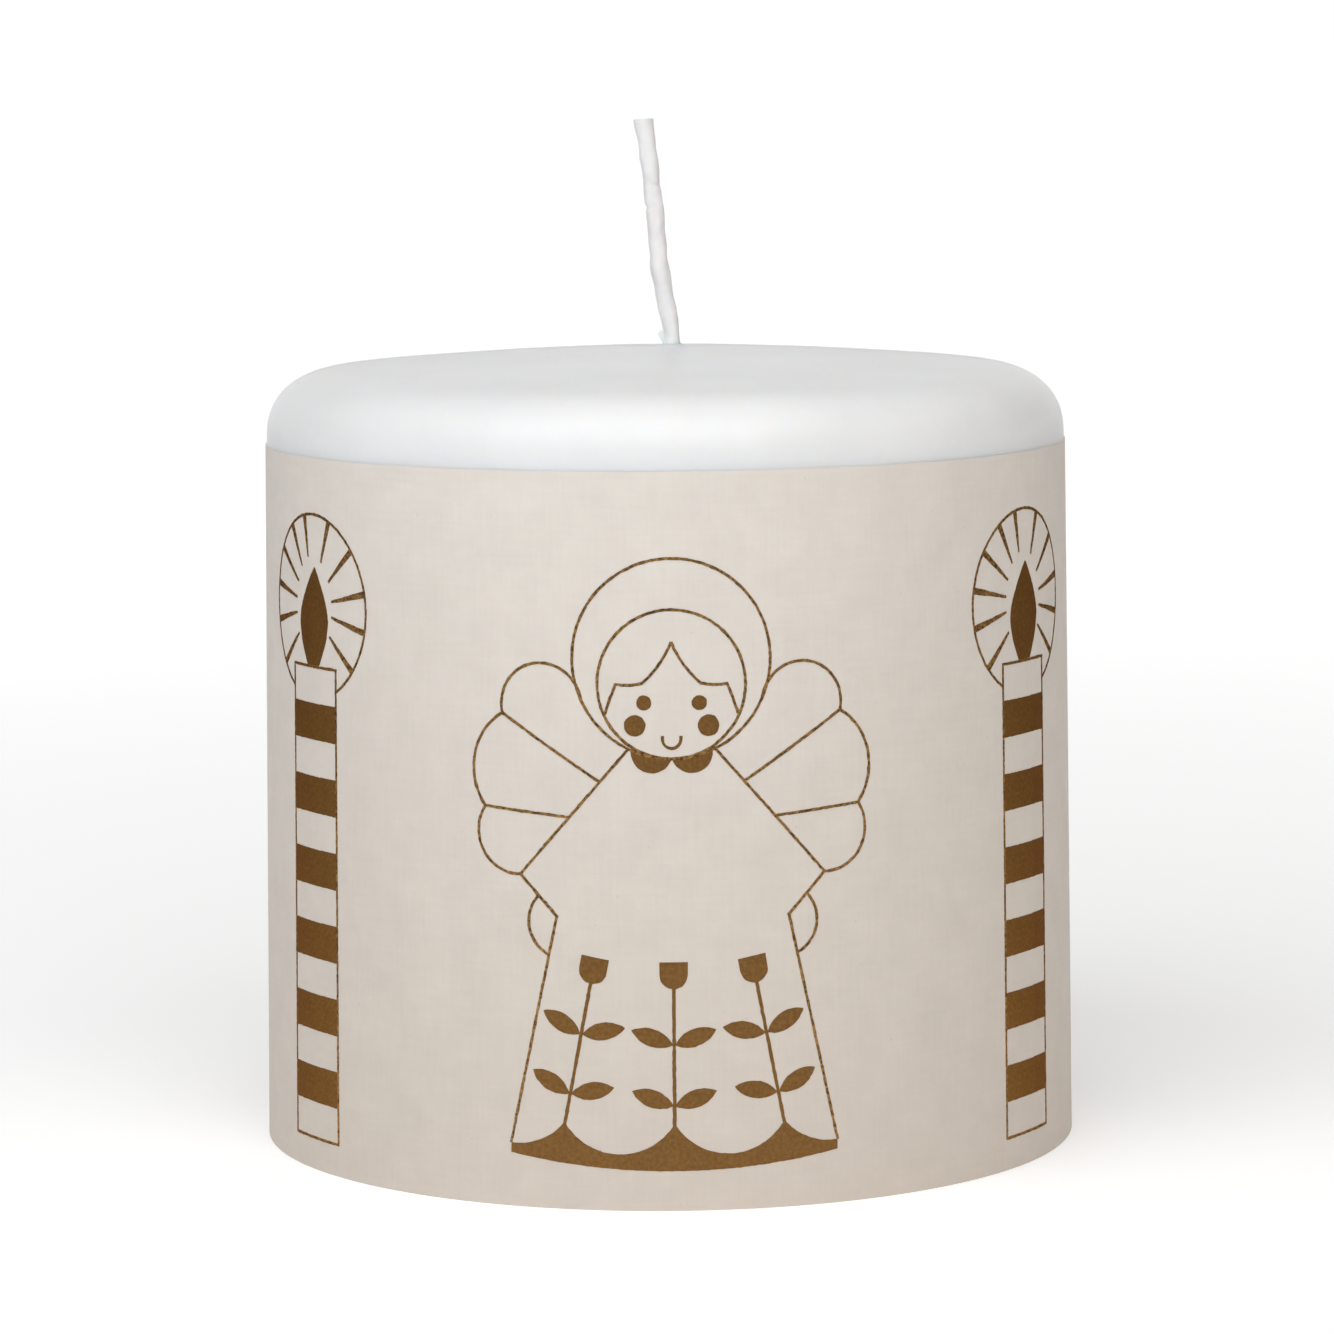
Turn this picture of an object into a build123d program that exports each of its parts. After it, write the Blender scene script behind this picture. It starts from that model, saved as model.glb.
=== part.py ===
from build123d import *
import os
from math import cos, degrees, hypot, radians, sin

# Unity candle: a moulded wax pillar, a printed film round its side and one waxed wick.
# Millimetres and degrees. +Z is up, the origin is the middle of the base, and the
# front motif faces -Y.

# Pillar
FOOT_RADIUS = 40.0  # outside of the film at the base
FILM_TOP_RADIUS = 39.24  # the mould's draft makes the pillar narrower upwards
FILM_TOP_Z = 68.4
CROWN_Z = 77.4  # middle of the wax's slightly domed top
DOME_RISE = 2.4
DOME_POWER = 1.6
SHOULDER_REACH = 6.3  # from the side in to the dome
SHOULDER_POWER = 2.8
FOOT_CHAMFER = 0.15

# Printed film
FILM_THICKNESS = 0.12
FILM_FOOT_Z = 0.2
SEAM_AZIMUTH = -158.6  # middle of the overlap, in the bare stretch between two motifs
SEAM_WIDTH = 3.0
INK_THICKNESS = 0.08

# Second pour, wick and its tab
PLUG_FOOT_RADIUS = 13.0
PLUG_TOP_RADIUS = 4.5
PLUG_HEIGHT = 34.0
WICK_X = 0.75  # the wick stands a little to the right of the middle
WICK_RADIUS = 0.9
TAB_RADIUS = 10.0
TAB_THICKNESS = 0.3
TAB_Z = 0.6  # underside of the tab, clear of the table
TAB_ROOM = 0.3  # gap round the tab in its recess
NECK_WALL = 0.35
NECK_HEIGHT = 6.0
MOUND_REACH = 1.1  # wax drawn up round the foot of the bare wick
MOUND_RISE = 0.45

# Corners of the bare wick above the wax: sideways, height above the wax
WICK_CORNERS = [(0.75, 1.4), (-0.30, 7.4), (-0.65, 11.5), (-1.82, 22.4)]
WICK_BEND_RADIUS = 9.0

# Print
MOTIF_PITCH = 58.8  # angle from one motif to the next
LINE_WIDTH = 0.27
PRINT_LOW_Z = 2.0
PRINT_HIGH_Z = 66.0
PRINT_RADIUS = 39.6  # mean outside radius of the film behind the print

# Candle motif
STICK_WIDTH = 8.2
STICK_LOW_Z = 3.1
STRIPE_HEIGHT = 3.5
STRIPE_COUNT = 13  # bare and inked in turn, bare at both ends
GLOW_Z = 54.3
GLOW_RADIUS = 8.8
FLAME_WIDTH = 5.5
FLAME_FOOT_WIDTH = 2.3
FLAME_HEIGHT = 9.4
FLAME_WAIST = 0.46  # height of the widest place, as a share of the flame's height
FLAME_LEAN = 0.35  # sideways place of the tip
RAY_ANGLES = [-132, -103, -79, -54, -31, -11, 20, 48, 78, 102, 130]  # from upright
RAY_ROOM_SIDE = 3.45  # the rays start on an oval round the flame
RAY_ROOM_UP = 4.85
RAY_ROOM_DOWN = 5.6
RAY_INNER_WIDTH = 0.25
RAY_OUTER_WIDTH = 0.68

# Angel motif: half figures are drawn on the right and mirrored
HALO_Z = 51.3
HALO_RADIUS = 9.2
HEAD_Z = 48.95
HEAD_RADIUS = 6.85
NECK = (4.0, 43.0)
ELBOW = (14.3, 31.2)
WAIST = (10.8, 27.4)
HEM_CORNER = (15.4, 6.0)
HEM_LOW_Z = 3.75
HEM_SIDE_Z = 5.4
HEM_PEAK_Z = 8.2
HEM_VALLEY_Z = 5.3
LOBE_TOPS = [(13.2, 50.7), (18.9, 42.0), (18.0, 33.2)]
LOBE_ENDS = [(16.0, 46.1), (17.8, 37.4), ELBOW]
FRINGE = [(0, 3.9), (1.3, 1.6), (2.7, 0.1), (3.9, -0.06), (5.15, 0), (5.6, -1.15), (6.15, -2.75)]
SMILE = [(0, -5.9), (0.6, -5.65), (0.85, -5.05), (0.85, -4.75)]
STEM_X = 10.2  # foot of an outer stem
# Stems: foot, lean inwards, height of the top, leaves up the stem from the hem's peak
MIDDLE_STEM = (0, 0, 20.75, (1.9, 7.6))
RIGHT_STEM = (STEM_X, 10.8, 21.2, (3.0, 8.7))
LEAF_SPAN = 3.9
LEAF_RISE = 1.4
LEAF_BELLY = 0.82
BLOOM_RADIUS = 1.3
BLOOM_HEIGHT = 2.5

# Motifs by name: kind, and place in steps of the pitch from the front
MOTIFS = {
    "angel_front": ("angel", 0),
    "candle_right": ("candle", 1),
    "angel_rear_right": ("angel", 2),
    "candle_rear": ("candle", 3),
    "angel_rear_left": ("angel", -2),
    "candle_left": ("candle", -1),
}


# ---------------------------------------------------------------- pillar


def film_radius(z):
    """Outside radius of the film at a height."""
    return FOOT_RADIUS - (FOOT_RADIUS - FILM_TOP_RADIUS) * z / FILM_TOP_Z


def drafted_ring(step_in, step_out, z_low, z_high, arc=360):
    """Thin ring along the drafted side, its walls stepped outwards from the film's outside."""
    section = Polyline(
        (film_radius(z_low) + step_in, z_low),
        (film_radius(z_low) + step_out, z_low),
        (film_radius(z_high) + step_out, z_high),
        (film_radius(z_high) + step_in, z_high),
        close=True,
    )
    return revolve(Plane.XZ * make_face(section), Axis.Z, arc)


def wick_path():
    """Centre line of the wick: upright through the wax, then a few slight bends."""
    foot = (WICK_X, 0, TAB_Z)
    corners = [(x, 0, CROWN_Z + rise) for x, rise in WICK_CORNERS]
    return FilletPolyline(foot, *corners, radius=WICK_BEND_RADIUS)


def wick():
    """Round waxed wick, cut square at its tip."""
    return sweep(Plane((WICK_X, 0, TAB_Z)) * Circle(WICK_RADIUS), path=wick_path())


def wick_sustainer():
    """Tab with a neck that grips the foot of the wick."""
    tab = Cylinder(TAB_RADIUS, TAB_THICKNESS, align=(Align.CENTER, Align.CENTER, Align.MIN))
    neck = Cylinder(
        WICK_RADIUS + NECK_WALL,
        TAB_THICKNESS + NECK_HEIGHT,
        align=(Align.CENTER, Align.CENTER, Align.MIN),
    )
    bore = Cylinder(WICK_RADIUS, 4 * NECK_HEIGHT)
    return Pos(WICK_X, 0, TAB_Z) * (tab + neck - bore)


def wax_mound():
    """Low mound where the wax has crept up the wick."""
    foot = (WICK_RADIUS + MOUND_REACH, 0)
    crest = (WICK_RADIUS, MOUND_RISE)
    hollow = (WICK_RADIUS + 0.33 * MOUND_REACH, 0.36 * MOUND_RISE)
    section = make_face(
        [
            Line((0, -MOUND_RISE), (foot[0], -MOUND_RISE)),
            Line((foot[0], -MOUND_RISE), foot),
            ThreePointArc(foot, hollow, crest),
            Line(crest, (0, MOUND_RISE)),
            Line((0, MOUND_RISE), (0, -MOUND_RISE)),
        ]
    )
    return Pos(WICK_X, 0, wax_height(foot[0])) * revolve(Plane.XZ * section, Axis.Z)


def plug_blank():
    """The second pour before the tab, its recess and the wick are taken out."""
    plug = Cone(
        PLUG_FOOT_RADIUS,
        PLUG_TOP_RADIUS,
        PLUG_HEIGHT,
        align=(Align.CENTER, Align.CENTER, Align.MIN),
    )
    return fillet(plug.edges().group_by(Axis.Z)[-1], 0.6 * PLUG_TOP_RADIUS)


def repour_plug():
    """Second pour of wax, with the recess that the tab sits in."""
    recess = Cylinder(
        TAB_RADIUS + TAB_ROOM,
        TAB_Z + TAB_THICKNESS,
        align=(Align.CENTER, Align.CENTER, Align.MIN),
    )
    return plug_blank() - Pos(WICK_X, 0, 0) * recess - wick_sustainer() - wick()


def wax_height(radius):
    """Height of the wax's top: a low dome that rolls over into a rounded shoulder."""
    side = film_radius(FILM_TOP_Z) - FILM_THICKNESS
    over = min(1, max(0, 1 + (radius - side) / SHOULDER_REACH))
    shoulder = (CROWN_Z - DOME_RISE - FILM_TOP_Z) * (1 - over**2) ** (1 / SHOULDER_POWER)
    return FILM_TOP_Z + shoulder + DOME_RISE * (1 - (radius / side) ** DOME_POWER)


def wax_body():
    """Main pour: drafted side, rounded shoulder, domed top, hollow for the plug and the wick."""
    side_foot = (film_radius(FOOT_CHAMFER) - FILM_THICKNESS, FOOT_CHAMFER)
    side_top = (film_radius(FILM_TOP_Z) - FILM_THICKNESS, FILM_TOP_Z)
    base_edge = (side_foot[0] - FOOT_CHAMFER, 0)
    dome_radius = side_top[0] - SHOULDER_REACH
    radii = [dome_radius + SHOULDER_REACH * sin(radians(turn)) for turn in (83, 73, 60, 42, 21)]
    radii += [share * dome_radius for share in (1, 0.75, 0.5, 0.25)]
    over_top = [(radius, wax_height(radius)) for radius in radii]
    crown = (0, CROWN_Z)
    outline = [
        Line((0, 0), base_edge),
        Line(base_edge, side_foot),
        Line(side_foot, side_top),
        Spline(side_top, *over_top, crown, tangents=[(0, 1), (-1, 0)]),
        Line(crown, (0, 0)),
    ]
    pour = revolve(Plane.XZ * make_face(outline), Axis.Z)
    return pour + wax_mound() - plug_blank() - wick()


def printed_wrap():
    """Film round the side, with the strip where its end lies over its beginning."""
    film = drafted_ring(-FILM_THICKNESS, 0, FILM_FOOT_Z, FILM_TOP_Z)
    strip_angle = degrees(SEAM_WIDTH / FOOT_RADIUS)
    strip = drafted_ring(0, FILM_THICKNESS, FILM_FOOT_Z, FILM_TOP_Z, strip_angle)
    from_x_axis = SEAM_AZIMUTH - 90 - strip_angle / 2
    return film + Rot(0, 0, from_x_axis) * strip


# ---------------------------------------------------------------- print


def on_film(along, z):
    """Point of a flat drawing, moved in to where the curved film carries it."""
    return (PRINT_RADIUS * sin(along / PRINT_RADIUS), z)


def both_sides(half):
    """A half drawing together with its mirror image."""
    return half + mirror(half, about=Plane.YZ)


def drawn_lines(strokes):
    """Ink lines of even width along the given curves."""
    return Sketch() + [trace(stroke, LINE_WIDTH) for stroke in strokes]


def ring(radius, z):
    """Ink circle of even width."""
    band = Circle(radius + LINE_WIDTH / 2) - Circle(radius - LINE_WIDTH / 2)
    return Pos(0, z) * band


def lens(start, end, belly):
    """Leaf-shaped area between two equal arcs."""
    (x0, z0), (x1, z1) = start, end
    span = hypot(x1 - x0, z1 - z0)
    across = (-(z1 - z0) / span * belly, (x1 - x0) / span * belly)
    middle = ((x0 + x1) / 2, (z0 + z1) / 2)
    upper = (middle[0] + across[0], middle[1] + across[1])
    lower = (middle[0] - across[0], middle[1] - across[1])
    return make_face([ThreePointArc(start, upper, end), ThreePointArc(end, lower, start)])


def candle_lines():
    """Outline of the striped stick, the glow ring and its rays."""
    height = STRIPE_COUNT * STRIPE_HEIGHT
    middle = Pos(0, STICK_LOW_Z + height / 2)
    outside = middle * Rectangle(STICK_WIDTH + LINE_WIDTH, height + LINE_WIDTH)
    inside = middle * Rectangle(STICK_WIDTH - LINE_WIDTH, height - LINE_WIDTH)
    glow = ring(GLOW_RADIUS, GLOW_Z) + [ray(angle) for angle in RAY_ANGLES]
    return (glow - outside) + (outside - inside)


def ray(angle):
    """One ray: narrow by the flame, wide where it meets the ring."""
    room = RAY_ROOM_UP if abs(angle) < 90 else RAY_ROOM_DOWN
    inner = 1 / hypot(sin(radians(angle)) / RAY_ROOM_SIDE, cos(radians(angle)) / room)
    wedge = Polyline(
        (-RAY_INNER_WIDTH / 2, inner),
        (RAY_INNER_WIDTH / 2, inner),
        (RAY_OUTER_WIDTH / 2, GLOW_RADIUS),
        (-RAY_OUTER_WIDTH / 2, GLOW_RADIUS),
        close=True,
    )
    return Pos(0, GLOW_Z) * Rot(0, 0, -angle) * make_face(wedge)


def candle_solids():
    """Inked stripes of the stick and its flame."""
    inner_width = STICK_WIDTH - LINE_WIDTH
    stripes = [
        Pos(0, STICK_LOW_Z + (n + 0.5) * STRIPE_HEIGHT) * Rectangle(inner_width, STRIPE_HEIGHT)
        for n in range(1, STRIPE_COUNT, 2)
    ]
    return Sketch() + stripes + flame()


def flame():
    """Flame with a round belly, a narrow foot on the stick and a pointed tip."""
    foot_z = STICK_LOW_Z + STRIPE_COUNT * STRIPE_HEIGHT + LINE_WIDTH / 2
    tip = (FLAME_LEAN, foot_z + FLAME_HEIGHT)
    edges = [Line((-FLAME_FOOT_WIDTH / 2, foot_z), (FLAME_FOOT_WIDTH / 2, foot_z))]
    for side in (-1, 1):
        foot = (side * FLAME_FOOT_WIDTH / 2, foot_z)
        belly = (side * FLAME_WIDTH / 2, foot_z + FLAME_WAIST * FLAME_HEIGHT)
        edges.append(Spline(foot, belly, tip, tangents=[(side * 0.55, 1), (-side * 0.5, 1)]))
    return make_face(edges)


def angel_lines():
    """Outline of the angel: halo, head, fringe, scalloped wings, cape and gown."""
    lobe_starts = [(8.4, 47.6)] + LOBE_ENDS[:-1]
    lobes = [
        ThreePointArc(on_film(*start), on_film(*top), on_film(*end))
        for start, top, end in zip(lobe_starts, LOBE_TOPS, LOBE_ENDS)
    ]
    ribs = [
        Line(on_film(*LOBE_ENDS[0]), on_film(*cape_edge(0.26))),
        Line(on_film(*LOBE_ENDS[1]), on_film(*cape_edge(0.54))),
    ]
    cape = Polyline(on_film(*NECK), on_film(*ELBOW), on_film(*WAIST), on_film(*HEM_CORNER))
    hand = ThreePointArc(on_film(12.6, 29.2), on_film(13.5, 26.5), on_film(11.6, 23.8))
    fringe = [(x, HEAD_Z + rise) for x, rise in FRINGE]
    hair = [ThreePointArc(*fringe[n : n + 3]) for n in (0, 2, 4)]
    half = drawn_lines([*lobes, *ribs, cape, hand, *hair])
    return ring(HALO_RADIUS, HALO_Z) + ring(HEAD_RADIUS, HEAD_Z) + both_sides(half)


def cape_edge(share):
    """Point on the sloping edge of the cape, a share of the way from neck to elbow."""
    return (
        NECK[0] + share * (ELBOW[0] - NECK[0]),
        NECK[1] + share * (ELBOW[1] - NECK[1]),
    )


def angel_solids():
    """Inked areas of the angel: face marks, collar, hem and three flowers."""
    eye = Pos(2.55, HEAD_Z - 1.7) * Circle(0.7)
    cheek = Pos(3.4, HEAD_Z - 3.8) * Circle(1.0)
    head_disc = Pos(0, HEAD_Z) * Circle(HEAD_RADIUS)
    collar = Pos(2.05, HEAD_Z - HEAD_RADIUS + 0.55) * Circle(1.85) - head_disc
    smile = [(x, HEAD_Z + rise) for x, rise in SMILE]
    mouth = drawn_lines([ThreePointArc(*smile[:3]), Line(*smile[2:])])
    half = eye + cheek + collar + mouth + hem() + flower(*RIGHT_STEM)
    return both_sides(half) + flower(*MIDDLE_STEM) - angel_lines()


def hem():
    """Right half of the hem band: waves above, one long arc below."""
    middle_low = (0, HEM_LOW_Z)
    corner_low = on_film(HEM_CORNER[0], HEM_SIDE_Z)
    corner = on_film(*HEM_CORNER)
    outer_peak = on_film(STEM_X, HEM_PEAK_Z)
    middle_peak = (0, HEM_PEAK_Z)
    low_sag = on_film(HEM_CORNER[0] / 2, HEM_LOW_Z + 0.25 * (HEM_SIDE_Z - HEM_LOW_Z))
    valley = on_film(STEM_X / 2, HEM_VALLEY_Z)
    outer_valley = on_film((STEM_X + HEM_CORNER[0]) / 2, HEM_CORNER[1] + 0.35)
    return make_face(
        [
            ThreePointArc(middle_low, low_sag, corner_low),
            Line(corner_low, corner),
            ThreePointArc(corner, outer_valley, outer_peak),
            ThreePointArc(outer_peak, valley, middle_peak),
            Line(middle_peak, middle_low),
        ]
    )


def flower(foot_x, lean, top_z, leaf_heights):
    """A flower on a stem that stands on a peak of the hem and leans towards the middle."""
    foot_z = HEM_PEAK_Z - LINE_WIDTH
    length = (top_z - foot_z) / cos(radians(lean))
    stem = Pos(0, length / 2) * Rectangle(LINE_WIDTH, length)
    leaves = [
        lens((side * LINE_WIDTH / 4, height), (side * LEAF_SPAN, height + LEAF_RISE), LEAF_BELLY)
        for height in leaf_heights
        for side in (-1, 1)
    ]
    straight_side = BLOOM_HEIGHT - BLOOM_RADIUS
    cup = Circle(BLOOM_RADIUS) - Pos(0, BLOOM_RADIUS) * Rectangle(2 * BLOOM_RADIUS, 2 * BLOOM_RADIUS)
    cup += Pos(0, straight_side / 2) * Rectangle(2 * BLOOM_RADIUS, straight_side)
    bloom = Pos(0, length + BLOOM_RADIUS) * cup
    return Pos(*on_film(foot_x, foot_z)) * Rot(0, 0, lean) * (stem + leaves + bloom)


def printed(drawing):
    """A flat drawing as a thin layer of ink on the front of the film."""
    layer = drafted_ring(0, INK_THICKNESS, PRINT_LOW_Z, PRINT_HIGH_Z)
    return extrude(Plane.XZ * drawing, FOOT_RADIUS + 4 * INK_THICKNESS) & layer


def ink_layers():
    """Every ink node: the lines and the solid areas of each motif round the film."""
    front = {
        "candle_lines": printed(candle_lines()),
        "candle_solids": printed(candle_solids()),
        "angel_lines": printed(angel_lines()),
        "angel_solids": printed(angel_solids()),
    }
    layers = {}
    for name, (kind, steps) in MOTIFS.items():
        for part in ("lines", "solids"):
            turn = Rot(0, 0, steps * MOTIF_PITCH)
            layers[f"ink_{name}_{part}"] = turn * front[f"{kind}_{part}"]
    return layers


# ---------------------------------------------------------------- output


def main():
    """Build every node and write one file for each."""
    nodes = {
        "wax_body": wax_body(),
        "repour_plug": repour_plug(),
        "wick": wick(),
        "wick_sustainer": wick_sustainer(),
        "printed_wrap": printed_wrap(),
        **ink_layers(),
    }
    os.makedirs("parts", exist_ok=True)
    for name, shape in nodes.items():
        export_step(shape, f"parts/{name}.step")
        print(f"{name}: {shape.volume:.2f} mm3")


main()
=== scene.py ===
"""Unity candle: the looks of a moulded wax pillar with a printed film and a waxed wick.

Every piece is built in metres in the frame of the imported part: +Z is up, the origin is
the middle of the base and the front motif faces -Y. Flat drawings are in millimetres:
along the film to the right, and up from the base.
"""

import logging
import math
import random
from collections.abc import Callable, Iterable, Sequence
from dataclasses import dataclass, field
from enum import Enum

import bmesh
import bpy
from mathutils import Matrix, Vector, noise
from mathutils.geometry import delaunay_2d_cdt


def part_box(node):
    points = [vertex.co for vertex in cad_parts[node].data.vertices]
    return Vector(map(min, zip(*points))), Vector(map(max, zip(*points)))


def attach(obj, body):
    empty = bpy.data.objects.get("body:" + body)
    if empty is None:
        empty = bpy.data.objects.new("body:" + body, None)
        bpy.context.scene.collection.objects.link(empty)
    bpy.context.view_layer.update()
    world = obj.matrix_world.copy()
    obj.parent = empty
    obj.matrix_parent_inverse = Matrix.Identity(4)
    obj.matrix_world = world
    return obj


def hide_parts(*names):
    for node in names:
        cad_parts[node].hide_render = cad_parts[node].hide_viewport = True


LOG = logging.getLogger("unity_candle")

MM = 0.001
ROOT = "root"
FLAT_UV = "flat"

Point = tuple[float, float]
Colour = tuple[float, float, float]


class Slot(Enum):
    """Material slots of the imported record."""

    WAX = "wax"
    WICK = "waxed_cotton"
    TIN = "tinned_steel"
    FILM = "film"
    INK = "bronze_ink"


class Motif(Enum):
    """The two drawings that take turns round the film."""

    ANGEL = "angel"
    CANDLE = "candle"


# ---------------------------------------------------------------- node trees


class Graph:
    """A short way to add and join nodes in one tree."""

    def __init__(self, tree: bpy.types.NodeTree) -> None:
        """Keep the tree that the nodes go into."""
        self.tree = tree

    def add(self, kind: str, inputs: dict | None = None, **settings: object) -> bpy.types.Node:
        """Add a node.

        Args:
            kind: the node's type name.
            inputs: value or source socket by input name or number.
            settings: attributes of the node itself.

        Returns:
            The new node.
        """
        node = self.tree.nodes.new(kind)
        for name, value in settings.items():
            setattr(node, name, value)
        self.fill(node, inputs or {})
        return node

    def fill(self, node: bpy.types.Node, inputs: dict) -> None:
        """Feed several inputs of a node, by name or number."""
        for key, value in inputs.items():
            self.feed(node.inputs[key], value)

    def feed(self, socket: bpy.types.NodeSocket, value: object) -> None:
        """Join a source socket to an input, or set the input's own value.

        Args:
            socket: the input.
            value: a source socket, or a plain value.
        """
        if isinstance(value, bpy.types.NodeSocket):
            self.tree.links.new(value, socket)
        else:
            socket.default_value = value

    def maths(self, operation: str, *values: object) -> bpy.types.NodeSocket:
        """Add a maths node.

        Args:
            operation: what the node does.
            values: a source socket or a number for each input in turn.

        Returns:
            The result's socket.
        """
        node = self.tree.nodes.new("ShaderNodeMath")
        node.operation = operation
        for socket, value in zip(node.inputs, values):
            self.feed(socket, value)
        return node.outputs[0]

    def ramp(
        self, factor: bpy.types.NodeSocket, stops: Sequence[tuple[float, Colour]]
    ) -> bpy.types.NodeSocket:
        """Add a colour ramp.

        Args:
            factor: what the ramp is read by.
            stops: place and colour of each stop, in order.

        Returns:
            The colour's socket.
        """
        node = self.add("ShaderNodeValToRGB", {"Fac": factor})
        elements = node.color_ramp.elements
        while len(elements) < len(stops):
            elements.new(1.0)
        for element, (place, colour) in zip(elements, stops):
            element.position = place
            element.color = (*colour, 1.0)
        return node.outputs["Color"]

    def noise(
        self, vector: bpy.types.NodeSocket, scale: float, detail: float = 2.0, rough: float = 0.5
    ) -> bpy.types.NodeSocket:
        """Factor socket of a noise texture; scale counts features in a metre or UV unit."""
        inputs = {"Vector": vector, "Scale": scale, "Detail": detail, "Roughness": rough}
        return self.add("ShaderNodeTexNoise", inputs).outputs[0]

    def stretched(
        self, vector: bpy.types.NodeSocket, scale: tuple, turn: tuple = (0.0, 0.0, 0.0)
    ) -> bpy.types.NodeSocket:
        """Coordinates turned and scaled by a different amount each way."""
        node = self.add("ShaderNodeMapping", {"Vector": vector, "Scale": scale, "Rotation": turn})
        return node.outputs[0]

    def mixed(
        self, factor: object, first: object, second: object, blend: str = "MIX"
    ) -> bpy.types.NodeSocket:
        """Colour socket of two colours mixed by a factor."""
        inputs = {"Factor": factor, "A": first, "B": second}
        return self.add("ShaderNodeMix", inputs, data_type="RGBA", blend_type=blend).outputs[2]

    def bump(
        self, height: bpy.types.NodeSocket, strength: float, distance: float
    ) -> bpy.types.NodeSocket:
        """Normal socket of a bump; distance is the depth of its relief in metres."""
        inputs = {"Height": height, "Strength": strength, "Distance": distance}
        return self.add("ShaderNodeBump", inputs).outputs[0]

    def place(self) -> bpy.types.NodeSocket:
        """The point's own place in the object, in metres."""
        return self.add("ShaderNodeTexCoord").outputs["Object"]

    def flat_place(self) -> bpy.types.NodeSocket:
        """The point's place on the flat film, in millimetres."""
        return self.add("ShaderNodeUVMap", uv_map=FLAT_UV).outputs[0]


def shaded(colour: Colour, share: float) -> Colour:
    """The same colour, darker or lighter."""
    return tuple(channel * share for channel in colour)


# ---------------------------------------------------------------- finishes


class Finish:
    """A finish that makes one material and hands out the same one each time."""

    name = "finish"

    def material(self) -> bpy.types.Material:
        """The finish's material, made at first use.

        Returns:
            The material, the same one each time.
        """
        made = bpy.data.materials.get(self.name)
        if made is None:
            made = bpy.data.materials.new(self.name)
            made.use_nodes = True
            graph = Graph(made.node_tree)
            self.dress(graph, made.node_tree.nodes["Principled BSDF"])
        return made

    def dress(self, graph: Graph, shader: bpy.types.Node) -> None:
        """Set the shader and its nodes.

        Args:
            graph: the material's tree.
            shader: its surface shader.
        """
        raise NotImplementedError


@dataclass(frozen=True)
class WaxFinish(Finish):
    """Cool white paraffin: light soaks in, the skin is satin with faint pits and rubs.

    Attributes:
        name: the material's name.
        colour: body colour of the wax.
        skin: roughness of the skin.
        soak: how far light travels in the wax, in metres.
        pit_scale: pits in a metre.
        dust_scale: specks of dust in a metre.
        dust: colour of a speck.
    """

    name: str = "cast_wax"
    colour: Colour = (0.858, 0.864, 0.869)
    skin: float = 0.36
    soak: float = 0.0040
    pit_scale: float = 210.0
    dust_scale: float = 200.0
    dust: Colour = (0.52, 0.50, 0.47)

    def dress(self, graph: Graph, shader: bpy.types.Node) -> None:
        """Mottled colour, patchy gloss, and bump from bloom, rubs and pits.

        Args:
            graph: the material's tree.
            shader: its surface shader.
        """
        place = graph.place()
        mottle = graph.noise(place, 95.0, 4.0, 0.6)
        colour = graph.ramp(mottle, [(0.3, shaded(self.colour, 0.955)), (0.7, self.colour)])
        specks = self.spots(graph, place, self.dust_scale, 0.032, 45.0, 0.52)
        patch = graph.noise(graph.stretched(place, (28.0, 90.0, 150.0)), 1.0, 3.0, 0.6)
        inputs = {
            "Base Color": graph.mixed(specks, colour, (*self.dust, 1.0)),
            "Roughness": graph.maths("MULTIPLY_ADD", patch, 0.30, self.skin - 0.15),
            "IOR": 1.44,
            "Sheen Weight": 0.34,
            "Sheen Roughness": 0.45,
            "Subsurface Weight": 0.50,
            "Subsurface Radius": (1.0, 0.75, 0.55),
            "Subsurface Scale": self.soak,
            "Normal": self.relief(graph, place),
        }
        graph.fill(shader, inputs)

    def spots(
        self,
        graph: Graph,
        place: bpy.types.NodeSocket,
        scale: float,
        size: float,
        patch_scale: float,
        rarity: float,
    ) -> bpy.types.NodeSocket:
        """Small round spots that come in loose groups.

        Args:
            graph: the material's tree.
            place: the point's place.
            scale: cells in a metre, each with a spot at most.
            size: radius of a spot, in cells.
            patch_scale: groups in a metre.
            rarity: share of the groups that stay bare.

        Returns:
            A socket that is 1 in a spot and 0 outside.
        """
        cells = graph.add("ShaderNodeTexVoronoi", {"Vector": place, "Scale": scale})
        spot = graph.maths("LESS_THAN", cells.outputs["Distance"], size)
        group = graph.maths("GREATER_THAN", graph.noise(place, patch_scale, 0.0), rarity)
        return graph.maths("MULTIPLY", spot, group)

    def relief(self, graph: Graph, place: bpy.types.NodeSocket) -> bpy.types.NodeSocket:
        """Bump of the cast skin: slow waves, rubbed streaks and a few small pits.

        Args:
            graph: the material's tree.
            place: the point's place.

        Returns:
            The socket of the bumped normal.
        """
        waves = graph.noise(place, 140.0, 3.0, 0.55)
        rubbed = graph.stretched(place, (900.0, 40.0, 260.0), (0.0, 0.0, 0.5))
        streaks = graph.noise(rubbed, 1.0, 1.0)
        pits = self.spots(graph, place, self.pit_scale, 0.07, 120.0, 0.6)
        height = graph.maths("MULTIPLY_ADD", streaks, 0.10, waves)
        height = graph.maths("MULTIPLY_ADD", pits, -0.35, height)
        return graph.bump(height, 0.30, 0.12 * MM)


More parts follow.
